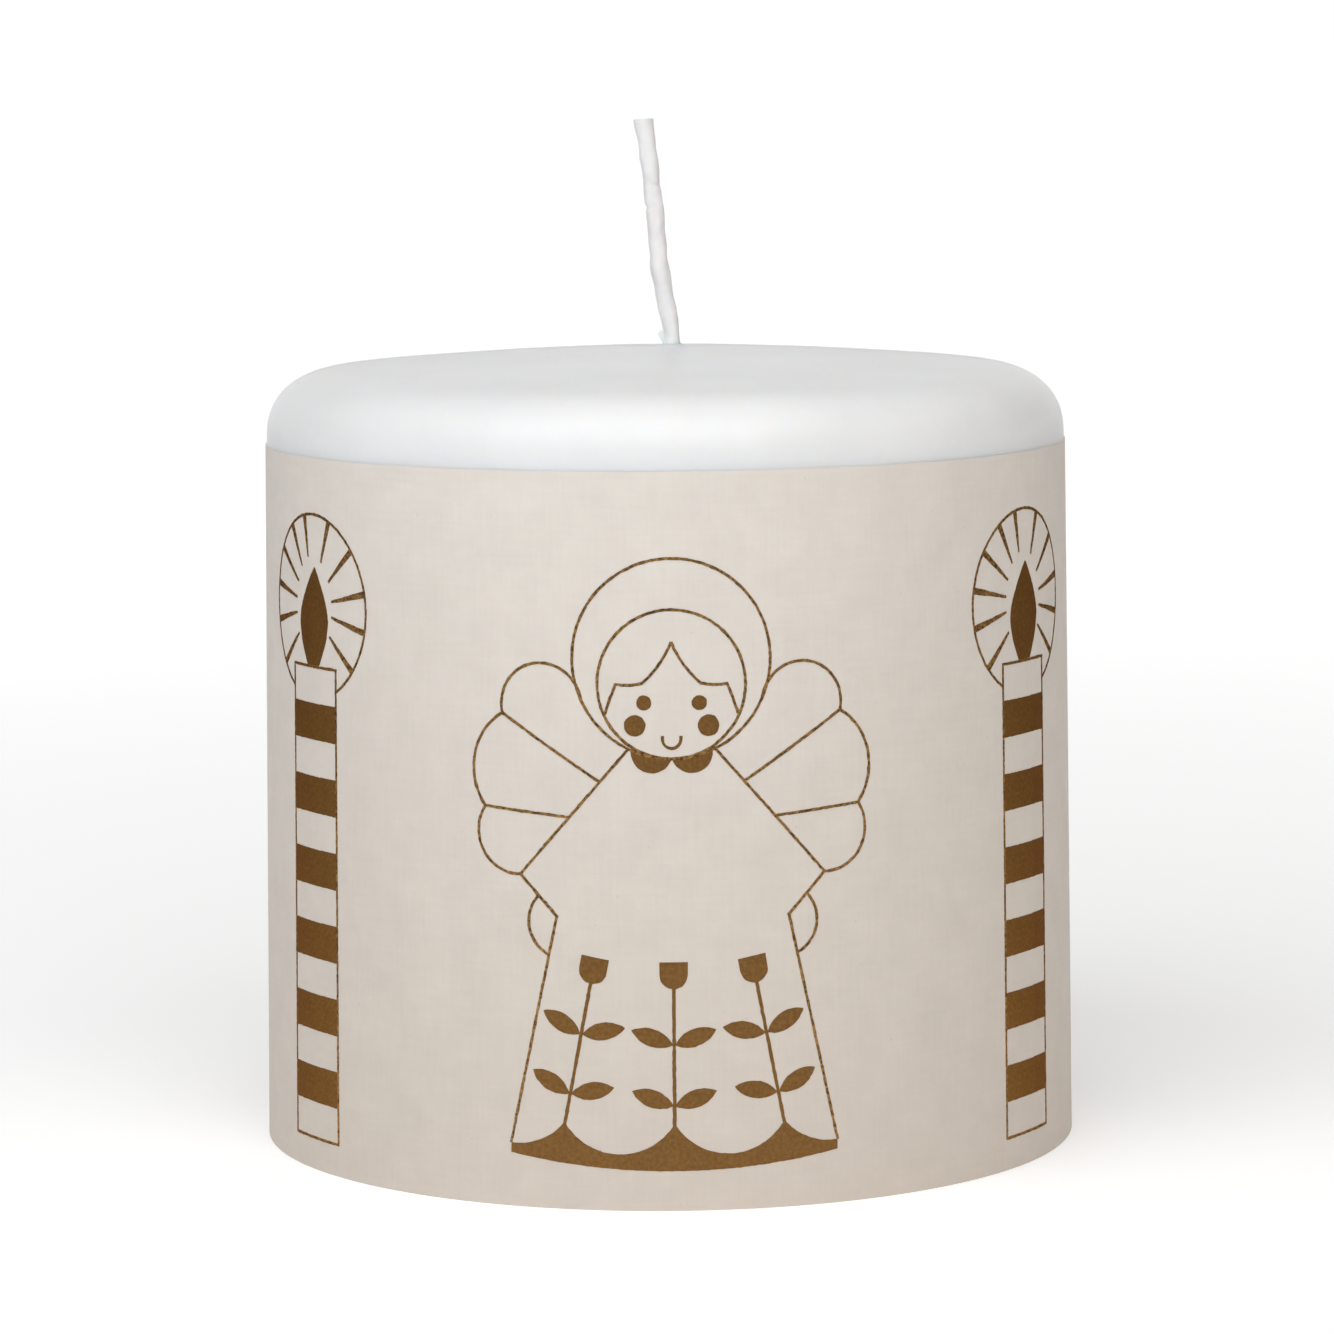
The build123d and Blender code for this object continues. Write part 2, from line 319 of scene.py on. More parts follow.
@dataclass(frozen=True)
class FilmFinish(Finish):
    """Thin beige printed paper under wax: matte, with a faint linen weave.

    Attributes:
        name: the material's name.
        colour: the printed ground colour.
        painted_foot_shade: what is left of it at the foot, a painted shade for the studio light
            that is weaker there.
        painted_shade_height: height where that painted shade has gone, in millimetres.
        thread: width of one thread of the weave, in millimetres.
        skin: roughness of the surface.
    """

    name: str = "linen_film"
    colour: Colour = (0.790, 0.720, 0.660)
    painted_foot_shade: Colour = (0.805, 0.775, 0.745)
    painted_shade_height: float = 66.67
    thread: float = 0.24
    skin: float = 0.52

    def dress(self, graph: Graph, shader: bpy.types.Node) -> None:
        """Ground colour with slubs and specks, darkened towards the foot by painted shade, and the
        weave in colour and bump.

        Args:
            graph: the material's tree.
            shader: its surface shader.
        """
        flat = graph.flat_place()
        mottle = graph.noise(flat, 0.22, 4.0, 0.62)
        weft = graph.noise(graph.stretched(flat, (0.16, 2.6, 1.0)), 1.0, 3.0, 0.6)
        warp = graph.noise(graph.stretched(flat, (2.6, 0.16, 1.0)), 1.0, 3.0, 0.6)
        slub = graph.maths("ADD", weft, warp)
        blend = graph.maths("MULTIPLY_ADD", slub, 0.22, graph.maths("MULTIPLY", mottle, 0.56))
        stops = [(0.36, shaded(self.colour, 0.945)), (0.66, shaded(self.colour, 1.03))]
        speck = graph.add("ShaderNodeTexVoronoi", {"Vector": flat, "Scale": 0.42})
        spot = graph.maths("LESS_THAN", speck.outputs["Distance"], 0.045)
        dark = shaded(self.colour, 0.90)
        ground = graph.mixed(spot, graph.ramp(blend, stops), (*dark, 1.0))
        relief = graph.maths("MULTIPLY_ADD", slub, 0.9, self.weave(graph, flat))
        inputs = {
            # The ground colour is multiplied by a painted shade that darkens the film towards its
            # foot.
            "Base Color": graph.mixed(1.0, ground, self.painted_foot_shading(graph, flat), "MULTIPLY"),
            "Roughness": self.skin,
            "IOR": 1.42,
            "Specular IOR Level": 0.3,
            "Subsurface Weight": 0.06,
            "Subsurface Scale": 1.0 * MM,
            "Normal": graph.bump(relief, 0.15, 0.03 * MM),
        }
        graph.fill(shader, inputs)

    def painted_foot_shading(self, graph: Graph, flat: bpy.types.NodeSocket) -> bpy.types.NodeSocket:
        """Painted shade that is deepest at the foot and gone near the top edge: the film's colour
        darkened towards the bottom.

        Args:
            graph: the material's tree.
            flat: the point's place on the flat film.

        Returns:
            The tint's socket.
        """
        axes = graph.add("ShaderNodeSeparateXYZ", {"Vector": flat}).outputs
        up = graph.maths("MULTIPLY", axes[1], 1.0 / self.painted_shade_height)
        return graph.ramp(up, [(0.0, self.painted_foot_shade), (1.0, (1.0, 1.0, 1.0))])

    def weave(self, graph: Graph, flat: bpy.types.NodeSocket) -> bpy.types.NodeSocket:
        """Height of a plain weave: rows of threads both ways.

        Args:
            graph: the material's tree.
            flat: the point's place on the flat film.

        Returns:
            The height's socket, from -0.5 to 0.5.
        """
        turn = math.pi / self.thread
        axes = graph.add("ShaderNodeSeparateXYZ", {"Vector": flat}).outputs
        across = graph.maths("SINE", graph.maths("MULTIPLY", axes[0], turn))
        along = graph.maths("SINE", graph.maths("MULTIPLY", axes[1], turn))
        return graph.maths("MULTIPLY", graph.maths("MULTIPLY", across, along), 0.5)


@dataclass(frozen=True)
class InkFinish(Finish):
    """Bronze pigment ink: brown with a dull metal glint and a fine grain.

    Attributes:
        name: the material's name.
        colour: mean colour of the ink.
        metal: share of bright pigment.
        skin: roughness.
        deep: share of the colour left in the darkest grains.
        bright: how much brighter the gold grains are.
    """

    name: str = "bronze_pigment"
    colour: Colour = (0.220, 0.113, 0.037)
    metal: float = 0.85
    skin: float = 0.42
    deep: float = 0.87
    bright: float = 1.15

    def dress(self, graph: Graph, shader: bpy.types.Node) -> None:
        """Grainy colour in two browns, and a bump from the grain.

        Args:
            graph: the material's tree.
            shader: its surface shader.
        """
        flat = graph.flat_place()
        grain = graph.noise(flat, 2.8, 3.0, 0.62)
        drift = graph.noise(flat, 0.35, 2.0)
        level = graph.maths("MULTIPLY_ADD", drift, 0.20, graph.maths("MULTIPLY", grain, 0.80))
        dark, gold = shaded(self.colour, self.deep), shaded(self.colour, self.bright)
        inputs = {
            "Base Color": graph.ramp(level, [(0.40, dark), (0.50, self.colour), (0.60, gold)]),
            "Metallic": self.metal,
            "Roughness": self.skin,
            "Specular IOR Level": 0.25,
            "Specular Tint": (0.30, 0.22, 0.13, 1.0),
            "Normal": graph.bump(grain, 0.25, 0.03 * MM),
        }
        graph.fill(shader, inputs)


@dataclass(frozen=True)
class WickFinish(Finish):
    """Cotton under a coat of wax: white, a little uneven, satin.

    Attributes:
        name: the material's name.
        colour: colour of the coat.
        skin: roughness of the coat.
    """

    name: str = "waxed_wick"
    colour: Colour = (0.925, 0.925, 0.925)
    skin: float = 0.42

    def dress(self, graph: Graph, shader: bpy.types.Node) -> None:
        """Faint grey where the coat is thin, and fine cotton relief under it.

        Args:
            graph: the material's tree.
            shader: its surface shader.
        """
        place = graph.place()
        thin = graph.noise(place, 620.0, 3.0, 0.6)
        fibre = graph.noise(graph.stretched(place, (2600.0, 2600.0, 700.0)), 1.0, 2.0)
        relief = graph.maths("MULTIPLY_ADD", fibre, 0.4, thin)
        stops = [(0.30, shaded(self.colour, 0.94)), (0.62, self.colour)]
        inputs = {
            "Base Color": graph.ramp(thin, stops),
            "Roughness": self.skin,
            "IOR": 1.44,
            "Subsurface Weight": 0.25,
            "Subsurface Scale": 1.2 * MM,
            "Normal": graph.bump(relief, 0.35, 0.08 * MM),
        }
        graph.fill(shader, inputs)


@dataclass(frozen=True)
class TinFinish(Finish):
    """Tinned steel tab: bright, with rolling marks and a film of wax in places.

    Attributes:
        name: the material's name.
        colour: colour of the tin.
        skin: roughness of clean metal.
    """

    name: str = "tinned_tab"
    colour: Colour = (0.70, 0.70, 0.71)
    skin: float = 0.28

    def dress(self, graph: Graph, shader: bpy.types.Node) -> None:
        """Metal with patchy gloss and fine lines from rolling.

        Args:
            graph: the material's tree.
            shader: its surface shader.
        """
        place = graph.place()
        smear = graph.noise(place, 420.0, 3.0, 0.6)
        lines = graph.noise(graph.stretched(place, (200.0, 9000.0, 200.0)), 1.0, 2.0)
        stops = [(0.35, shaded(self.colour, 0.80)), (0.65, self.colour)]
        inputs = {
            "Base Color": graph.ramp(smear, stops),
            "Roughness": graph.maths("MULTIPLY_ADD", smear, 0.35, self.skin - 0.12),
            "Metallic": 1.0,
            "Normal": graph.bump(lines, 0.15, 0.03 * MM),
        }
        graph.fill(shader, inputs)


@dataclass(frozen=True)
class FloorFinish(Finish):
    """Plain white studio floor with a painted glow of its own, so that it meets the white
    background.

    Attributes:
        name: the material's name.
        colour: its paint.
        lift: painted glow of its own near the candle, further out and far away.
    """

    name: str = "studio_floor"
    colour: Colour = (0.90, 0.90, 0.90)
    lift: tuple[float, float, float] = (0.28, 0.82, 0.87)

    def dress(self, graph: Graph, shader: bpy.types.Node) -> None:
        """Matte white with a painted glow of its own, weaker round the candle like a painted shade.

        Args:
            graph: the material's tree.
            shader: its surface shader.
        """
        place = graph.place()
        shade = graph.noise(place, 3.0, 2.0)
        away = graph.add("ShaderNodeVectorMath", {0: place}, operation="LENGTH").outputs["Value"]
        near, middle, far = ((level,) * 3 for level in self.lift)
        reach = graph.maths("MULTIPLY", away, 0.5)
        inputs = {
            "Base Color": graph.ramp(shade, [(0.3, shaded(self.colour, 0.99)), (0.7, self.colour)]),
            "Roughness": 0.8,
            # Painted glow: the floor's own light, weaker round the candle and stronger further out.
            "Emission Color": graph.ramp(reach, [(0.04, near), (0.3, middle), (0.9, far)]),
            "Emission Strength": self.painted_glow_share(graph, place),
        }
        graph.fill(shader, inputs)

    def painted_glow_share(self, graph: Graph, place: bpy.types.NodeSocket) -> bpy.types.NodeSocket:
        """Share of the painted glow: whole in a wedge that widens towards the back.

        Args:
            graph: the material's tree.
            place: the point's place.

        Returns:
            The share's socket, 0 to 1.
        """
        axes = graph.add("ShaderNodeSeparateXYZ", {"Vector": place}).outputs
        half = graph.maths("MAXIMUM", graph.maths("MULTIPLY_ADD", axes["Y"], 0.16, 0.11), 0.05)
        out = graph.maths("DIVIDE", graph.maths("ABSOLUTE", axes["X"]), half)
        sides = graph.add(
            "ShaderNodeMapRange", {"Value": out, "From Min": 2.0, "From Max": 1.0}
        ).outputs[0]
        front = graph.add(
            "ShaderNodeMapRange", {"Value": axes["Y"], "From Min": -0.20, "From Max": -0.10}
        ).outputs[0]
        return graph.maths("MULTIPLY", sides, front)


# ---------------------------------------------------------------- shared form


@dataclass(frozen=True)
class PillarForm:
    """Sizes that several sub-assemblies share, in metres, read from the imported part.

    Attributes:
        foot_radius: outside of the film at the base.
        draft: radius lost for each unit of height.
        film_top: height of the film's upper edge.
        film_thickness: thickness of the film.
        crown: height of the wax at its middle.
        wick_x: sideways place of the wick in the wax.
        wick_radius: radius of the waxed wick.
    """

    foot_radius: float
    draft: float
    film_top: float
    film_thickness: float
    crown: float
    wick_x: float
    wick_radius: float

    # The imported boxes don't tell these: the tab's sheet, the mound round the wick, the film's
    # outside at its top edge, and the curves of the dome and the shoulder.
    TAB_SHEET = 0.3 * MM
    MOUND_RISE = 0.43 * MM
    FILM_TOP_RADIUS = 39.24 * MM
    DOME_RISE = 2.4 * MM
    DOME_POWER = 1.6
    SHOULDER_REACH = 6.3 * MM
    SHOULDER_POWER = 2.8

    @classmethod
    def from_frame(cls) -> "PillarForm":
        """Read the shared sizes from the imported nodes.

        Returns:
            The form that every sub-assembly is built on.
        """
        film_low, film_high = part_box("printed_wrap")
        wax_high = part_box("wax_body")[1]
        wick_low, wick_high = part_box("wick")
        tab_low, tab_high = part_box("wick_sustainer")
        draft = (film_high.x - cls.FILM_TOP_RADIUS) / (film_high.z - film_low.z)
        foot_radius = film_high.x + draft * film_low.z
        return cls(
            foot_radius=foot_radius,
            draft=draft,
            film_top=film_high.z,
            film_thickness=foot_radius - wax_high.x,
            crown=wax_high.z - cls.MOUND_RISE,
            wick_x=(tab_low.x + tab_high.x) / 2,
            wick_radius=(wick_high.y - wick_low.y) / 2,
        )

    def film_radius(self, z: float) -> float:
        """Outside radius of the film at a height."""
        return self.foot_radius - self.draft * z

    def flat_radius(self) -> float:
        """Radius at which the flat film keeps its length when it is wrapped."""
        return self.film_radius(0.5 * self.film_top)

    def wax_height(self, radius: float) -> float:
        """Height of the domed top and its rounded shoulder.

        Args:
            radius: distance from the pillar's axis.

        Returns:
            The height there, without the mound round the wick.
        """
        side = self.film_radius(self.film_top) - self.film_thickness
        over = min(1.0, max(0.0, 1.0 + (radius - side) / self.SHOULDER_REACH))
        rise = self.crown - self.DOME_RISE - self.film_top
        shoulder = rise * (1.0 - over**2) ** (1.0 / self.SHOULDER_POWER)
        dome = self.DOME_RISE * (1.0 - min(1.0, radius / side) ** self.DOME_POWER)
        return self.film_top + shoulder + dome


def smooth_step(low: float, high: float, value: float) -> float:
    """0 below low, 1 above high, and a smooth rise between them."""
    share = min(1.0, max(0.0, (value - low) / (high - low)))
    return share * share * (3.0 - 2.0 * share)


def piece_from(
    mesh: bpy.types.Mesh, name: str, finish: Finish, replaced: Iterable[str]
) -> bpy.types.Object:
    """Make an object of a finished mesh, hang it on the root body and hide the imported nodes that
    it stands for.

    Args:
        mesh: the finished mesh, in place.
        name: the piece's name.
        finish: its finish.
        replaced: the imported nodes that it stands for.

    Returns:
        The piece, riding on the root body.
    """
    if not mesh.materials:
        mesh.materials.append(finish.material())
    piece = bpy.data.objects.new(name, mesh)
    bpy.context.scene.collection.objects.link(piece)
    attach(piece, ROOT)
    nodes = list(replaced)
    if nodes:
        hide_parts(*nodes)
    LOG.info("%s: %d faces", name, len(mesh.polygons))
    return piece


def baked_mesh(carrier: bpy.types.Object, name: str) -> bpy.types.Mesh:
    """Plain mesh of an object with its modifiers, which are then removed with it.

    Args:
        carrier: the object whose modifiers make the shape.
        name: the mesh's name.

    Returns:
        The evaluated mesh.
    """
    bpy.context.view_layer.update()
    graph = bpy.context.evaluated_depsgraph_get()
    mesh = bpy.data.meshes.new_from_object(carrier.evaluated_get(graph))
    mesh.name = name
    carrier.modifiers.clear()
    bpy.data.objects.remove(carrier)
    return mesh


def add_tree(carrier: bpy.types.Object, tree: bpy.types.NodeTree, values: dict) -> None:
    """Give an object a geometry tree and set the tree's inputs by name.

    Args:
        carrier: the object.
        tree: the geometry tree.
        values: value of each named input.
    """
    modifier = carrier.modifiers.new(tree.name, "NODES")
    modifier.node_group = tree
    for item in tree.interface.items_tree:
        if item.item_type == "SOCKET" and item.in_out == "INPUT" and item.name in values:
            modifier[item.identifier] = values[item.name]


def new_tree(name: str, inputs: Sequence[tuple[str, str, object]]) -> bpy.types.NodeTree:
    """An empty geometry tree with named inputs and one geometry each way.

    Args:
        name: the tree's name.
        inputs: name, socket type and default of each input.

    Returns:
        The tree, without nodes.
    """
    tree = bpy.data.node_groups.new(name, "GeometryNodeTree")
    tree.interface.new_socket("Geometry", in_out="INPUT", socket_type="NodeSocketGeometry")
    for label, kind, default in inputs:
        socket = tree.interface.new_socket(label, in_out="INPUT", socket_type=kind)
        if default is not None:
            socket.default_value = default
    tree.interface.new_socket("Geometry", in_out="OUTPUT", socket_type="NodeSocketGeometry")
    return tree


# ---------------------------------------------------------------- lathe work


@dataclass(frozen=True)
class Ring:
    """One circle of a turned piece.

    Attributes:
        radius: the circle's radius.
        z: its height.
        x: sideways place of its centre.
    """

    radius: float
    z: float
    x: float = 0.0


def mesh_of(
    work: bmesh.types.BMesh, name: str, smooth: bool = True, flat: bool = False
) -> bpy.types.Mesh:
    """Turn finished work into a mesh, with its faces outwards, and free it.

    Args:
        work: the work.
        name: the mesh's name.
        smooth: whether its faces shade smooth.
        flat: whether its flat place is kept as its own coordinates.

    Returns:
        The mesh.
    """
    bmesh.ops.recalc_face_normals(work, faces=work.faces)
    for face in work.faces:
        face.smooth = smooth
    if flat:
        write_flat_uv(work)
    mesh = bpy.data.meshes.new(name)
    work.to_mesh(mesh)
    work.free()
    return mesh


def write_flat_uv(work: bmesh.types.BMesh) -> None:
    """Keep each point's flat place, in millimetres, as the surface's own coordinates.

    Args:
        work: flat work, in metres.
    """
    layer = work.loops.layers.uv.new(FLAT_UV)
    for face in work.faces:
        for corner in face.loops:
            corner[layer].uv = (corner.vert.co.x / MM, corner.vert.co.z / MM)


def turned_mesh(
    name: str,
    rings: Sequence[Ring],
    segments: int,
    shift: Callable[[Vector], Vector] | None = None,
) -> bpy.types.Mesh:
    """A closed turned solid: the rings go once round its cross-section.

    Args:
        name: the mesh's name.
        rings: circles in order; the last one joins the first.
        segments: points on each circle.
        shift: moves a finished point, for an uneven surface.

    Returns:
        The mesh, with smooth faces and normals outwards.
    """
    work = bmesh.new()
    loops = []
    for ring in rings:
        loop = []
        for n in range(segments):
            turn = 2.0 * math.pi * n / segments
            point = Vector(
                (ring.x + ring.radius * math.sin(turn), -ring.radius * math.cos(turn), ring.z)
            )
            loop.append(work.verts.new(shift(point) if shift else point))
        loops.append(loop)
    for here, there in zip(loops, loops[1:] + loops[:1]):
        for n in range(segments):
            after = (n + 1) % segments
            work.faces.new((here[n], here[after], there[after], there[n]))
    return mesh_of(work, name)


def sharpen(mesh: bpy.types.Mesh, degrees: float) -> bpy.types.Mesh:
    """Mark the edges that turn more than an angle as sharp, so that the rest shades smooth."""
    mesh.set_sharp_from_angle(angle=math.radians(degrees))
    return mesh


def arc_points(centre: Point, radii: Point, start: float, end: float, steps: int) -> list[Point]:
    """Points of an elliptical arc, both ends included.

    Args:
        centre: the ellipse's centre.
        radii: its two radii.
        start: first angle in degrees, counter-clockwise from the right.
        end: last angle.
        steps: stretches between the points.

    Returns:
        The points in order.
    """
    angles = [math.radians(start + (end - start) * n / steps) for n in range(steps + 1)]
    return [
        (centre[0] + radii[0] * math.cos(a), centre[1] + radii[1] * math.sin(a)) for a in angles
    ]


@dataclass
class WaxPillar:
    """The two pours of wax.

    Attributes:
        form: the shared sizes.
        finish: the wax.
        segments: points on each turned circle.
        mound_reach: width of the wax drawn up round the wick.
        foot_round: radius of the edge at the base.
        plug_radius: radius of the second pour at the base.
        plug_top_radius: radius of its top.
        plug_height: its height.
        tab_room: room between the tab's rim and the second pour.
        swell: height of the slow waves on the top.
    """

    form: PillarForm
    finish: WaxFinish = field(default_factory=WaxFinish)
    segments: int = 224
    mound_reach: float = 1.5 * MM
    foot_round: float = 0.15 * MM
    plug_radius: float = 13.0 * MM
    plug_top_radius: float = 4.5 * MM
    plug_height: float = 34.0 * MM
    tab_room: float = 0.3 * MM
    swell: float = 0.06 * MM

    # Unevenness of the top, and the rings across the base.
    WAVES_IN_METRE = 75.0
    RIPPLES_IN_METRE = 320.0
    BASE_RING_RADII = tuple(n * MM for n in range(16, 39, 3))

    def build(self) -> None:
        """Make both pours."""
        self.build_main_pour()
        self.build_second_pour()

    def inner_radius(self, z: float) -> float:
        """Radius of the wax behind the film."""
        return self.form.film_radius(z) - self.form.film_thickness

    def uneven(self, point: Vector) -> Vector:
        """Lower a point of the shoulder or the top by slow waves, as cast wax settles.

        Args:
            point: the point.

        Returns:
            The lowered point; the side and the wax round the wick stay where they are.
        """
        low = self.form.film_top
        up = smooth_step(low, low + 5.0 * MM, point.z)
        from_wick = (point.xy - Vector((self.form.wick_x, 0.0))).length
        share = up * smooth_step(2.0 * MM, 6.0 * MM, from_wick)
        wave = noise.noise(point * self.WAVES_IN_METRE) - 0.6
        ripple = 0.3 * noise.noise(point * self.RIPPLES_IN_METRE)
        return point + Vector((0.0, 0.0, (wave + ripple) * self.swell * share))

    def build_main_pour(self) -> bpy.types.Object:
        """Turn the main pour: base, side, shoulder, top, wick hole and shrink well.

        Returns:
            The piece.
        """
        form = self.form
        rings = [Ring(self.plug_radius + self.foot_round, 0.0)]
        rings += [Ring(radius, 0.0) for radius in self.BASE_RING_RADII]
        rings += self.side_rings() + self.shoulder_rings() + self.top_rings()
        rings.append(Ring(form.wick_radius, self.plug_height, form.wick_x))
        rings.append(Ring(self.plug_top_radius, self.plug_height))
        rings.append(Ring(self.plug_radius, self.foot_round))
        mesh = sharpen(turned_mesh("wax_pillar", rings, self.segments, self.uneven), 35.0)
        return piece_from(mesh, "wax_pillar", self.finish, ["wax_body"])

    def side_rings(self) -> list[Ring]:
        """The drafted side, from the base edge up to the film's top edge.

        Returns:
            Its rings, upwards.
        """
        foot = self.inner_radius(self.foot_round)
        rings = [Ring(foot - self.foot_round, 0.0), Ring(foot, self.foot_round)]
        steps = 12
        for n in range(1, steps + 1):
            z = self.foot_round + (self.form.film_top - self.foot_round) * n / steps
            rings.append(Ring(self.inner_radius(z), z))
        return rings

    def shoulder_rings(self) -> list[Ring]:
        """The rounded shoulder, closer rings where it turns fastest.

        Returns:
            Its rings, inwards.
        """
        form = self.form
        dome = self.inner_radius(form.film_top) - form.SHOULDER_REACH
        turns = [math.radians(90.0 - 90.0 * (n / 30) ** 1.35) for n in range(1, 31)]
        radii = [dome + form.SHOULDER_REACH * math.sin(turn) for turn in turns]
        return [Ring(radius, form.wax_height(radius)) for radius in radii]

    def top_rings(self) -> list[Ring]:
        """The dome in to the mound, and the mound up to the wick.

        Returns:
            The rings, inwards.
        """
        form = self.form
        dome = self.inner_radius(form.film_top) - form.SHOULDER_REACH
        inner = form.wick_radius + self.mound_reach
        rings = []
        for n in range(1, 25):
            share = n / 24
            radius = dome + (inner - dome) * share
            rings.append(Ring(radius, form.wax_height(radius), form.wick_x * share**4))
        for n in range(1, 9):
            share = n / 8
            radius = inner - self.mound_reach * share
            rise = 0.92 * form.MOUND_RISE * share**2.2
            rings.append(Ring(radius, form.wax_height(radius) + rise, form.wick_x))
        return rings

    def build_second_pour(self) -> bpy.types.Object:
        """Turn the plug with its recess for the tab.

        Returns:
            The piece.
        """
        form = self.form
        tab_low, tab_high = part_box("wick_sustainer")
        recess = (tab_high.x - tab_low.x) / 2 + self.tab_room
        floor = tab_low.z + form.TAB_SHEET
        bore = form.wick_radius + 0.35 * MM
        rings = [
            Ring(self.plug_radius - self.foot_round, 0.05 * MM),
            Ring(self.plug_radius - 1.0 * MM, 0.0),
            Ring(recess + 1.2 * MM, 0.0, form.wick_x * 0.7),
            Ring(recess + 0.4 * MM, 0.08 * MM, form.wick_x),
            Ring(recess, 0.35 * MM, form.wick_x),
            Ring(recess, floor, form.wick_x),
            Ring(bore, floor, form.wick_x),
            Ring(bore, tab_high.z, form.wick_x),
            Ring(form.wick_radius, tab_high.z, form.wick_x),
            Ring(form.wick_radius, self.plug_height, form.wick_x),
            Ring(self.plug_top_radius * 0.7, self.plug_height),
            Ring(self.plug_top_radius, self.plug_height - 1.6 * MM),
            Ring(self.plug_radius, self.foot_round),
        ]
        mesh = sharpen(turned_mesh("repour_plug_wax", rings, 144), 35.0)
        return piece_from(mesh, "repour_plug_wax", self.finish, ["repour_plug"])


@dataclass
class WickTab:
    """The tinned steel tab that grips the wick's foot.

    Attributes:
        form: the shared sizes.
        finish: the tinned steel.
        neck_wall: thickness of the neck.
        bead_radii: middle radii of the pressed beads.
        bead_rise: how far a bead stands up.
        bead_spread: half-width of a bead.
        crimps: pinches round the neck.
        crimp_depth: how deep they go.
    """

    form: PillarForm
    finish: TinFinish = field(default_factory=TinFinish)
    neck_wall: float = 0.35 * MM
    bead_radii: tuple[float, ...] = (4.2 * MM, 8.2 * MM)
    bead_rise: float = 0.22 * MM
    bead_spread: float = 0.45 * MM
    crimps: int = 4
    crimp_depth: float = 0.10 * MM

    def build(self) -> bpy.types.Object:
        """Turn the tab and pinch its neck.

        Returns:
            The piece.
        """
        low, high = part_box("wick_sustainer")
        radius = (high.x - low.x) / 2
        middle, bore = self.form.wick_x, self.form.wick_radius
        top = low.z + self.form.TAB_SHEET
        under = self.face_rings(radius, bore, low.z, upper=False)
        over = self.face_rings(radius, bore + self.neck_wall, top, upper=True)
        lip = high.z - 0.1 * MM
        neck_top = [
            Ring(bore + self.neck_wall, lip, middle),
            Ring(bore + 0.5 * self.neck_wall, high.z, middle),
            Ring(bore, lip, middle),
        ]
        mesh = turned_mesh("wick_tab", under + over + neck_top, 96, self.pinch)
        mesh = sharpen(mesh, 50.0)
        return piece_from(mesh, "wick_tab", self.finish, ["wick_sustainer"])

    def face_rings(self, radius: float, bore: float, z: float, upper: bool) -> list[Ring]:
        """Rings of one face of the sheet, with its pressed beads.

        Args:
            radius: outside of the tab.
            bore: inside end of the face.
            z: height of the face.
            upper: whether it is the upper face, which runs inwards.

        Returns:
            The rings in order round the section.
        """
        rings = []
        steps = 72
        for n in range(steps + 1):
            r = bore + (radius - bore) * n / steps
            rise = sum(math.exp(-(((r - b) / self.bead_spread) ** 2)) for b in self.bead_radii)
            rings.append(Ring(r, z + self.bead_rise * rise, self.form.wick_x))
        return rings[::-1] if upper else rings

    def pinch(self, point: Vector) -> Vector:
        """Press the outside of the neck in at a few places round the wick.

        Args:
            point: a point of the tab.

        Returns:
            The point, moved where it is on the outside of the neck.
        """
        centre = Vector((self.form.wick_x, 0.0))
        out = point.xy - centre
        neck = self.form.wick_radius + 1.2 * self.neck_wall
        if out.length > neck or out.length < self.form.wick_radius + 0.5 * self.neck_wall:
            return point
        turn = math.atan2(out.y, out.x)
        depth = self.crimp_depth * max(0.0, math.cos(self.crimps * turn)) ** 2
        moved = centre + out * (1.0 - depth / out.length)
        return Vector((moved.x, moved.y, point.z))


# ---------------------------------------------------------------- flat sheets


def wrap_tree() -> bpy.types.NodeTree:
    """Tree that copies a flat piece upwards and lays it round the drafted pillar.

    A flat piece has x along the film, y outwards and z up.

    Returns:
        The geometry tree; one tree serves the film and every layer of ink.
    """
    name = "wrap_round_pillar"
    found = bpy.data.node_groups.get(name)
    if found is not None:
        return found
    floats = ("Foot Radius", "Draft", "Flat Radius", "Azimuth", "Copy Step")
    inputs = [(label, "NodeSocketFloat", 0.0) for label in floats]
    inputs.append(("Copies", "NodeSocketInt", 1))
    inputs.append(("Finish", "NodeSocketMaterial", None))
    tree = new_tree(name, inputs)
    graph = Graph(tree)
    start = graph.add("NodeGroupInput").outputs
    step = graph.add("ShaderNodeCombineXYZ", {"Z": start["Copy Step"]}).outputs[0]
    row = graph.add("GeometryNodeMeshLine", {"Count": start["Copies"], "Offset": step}).outputs[0]
    copies = graph.add(
        "GeometryNodeInstanceOnPoints", {"Points": row, "Instance": start["Geometry"]}
    )
    real = graph.add("GeometryNodeRealizeInstances", {"Geometry": copies.outputs[0]})
    position = graph.add("GeometryNodeInputPosition").outputs[0]
    flat = graph.add("ShaderNodeSeparateXYZ", {"Vector": position}).outputs
    turn = graph.maths("DIVIDE", flat["X"], start["Flat Radius"])
    turn = graph.maths("ADD", turn, start["Azimuth"])
    lost = graph.maths("MULTIPLY", flat["Z"], start["Draft"])
    radius = graph.maths("SUBTRACT", start["Foot Radius"], lost)
    radius = graph.maths("ADD", radius, flat["Y"])
    x = graph.maths("MULTIPLY", radius, graph.maths("SINE", turn))
    y = graph.maths("MULTIPLY", radius, graph.maths("COSINE", turn))
    y = graph.maths("MULTIPLY", y, -1.0)
    place = graph.add("ShaderNodeCombineXYZ", {"X": x, "Y": y, "Z": flat["Z"]}).outputs[0]
    moved = graph.add(
        "GeometryNodeSetPosition", {"Geometry": real.outputs[0], "Position": place}
    )
    dressed = graph.add(
        "GeometryNodeSetMaterial", {"Geometry": moved.outputs[0], "Material": start["Finish"]}
    )
    graph.add("NodeGroupOutput", {"Geometry": dressed.outputs[0]})
    return tree


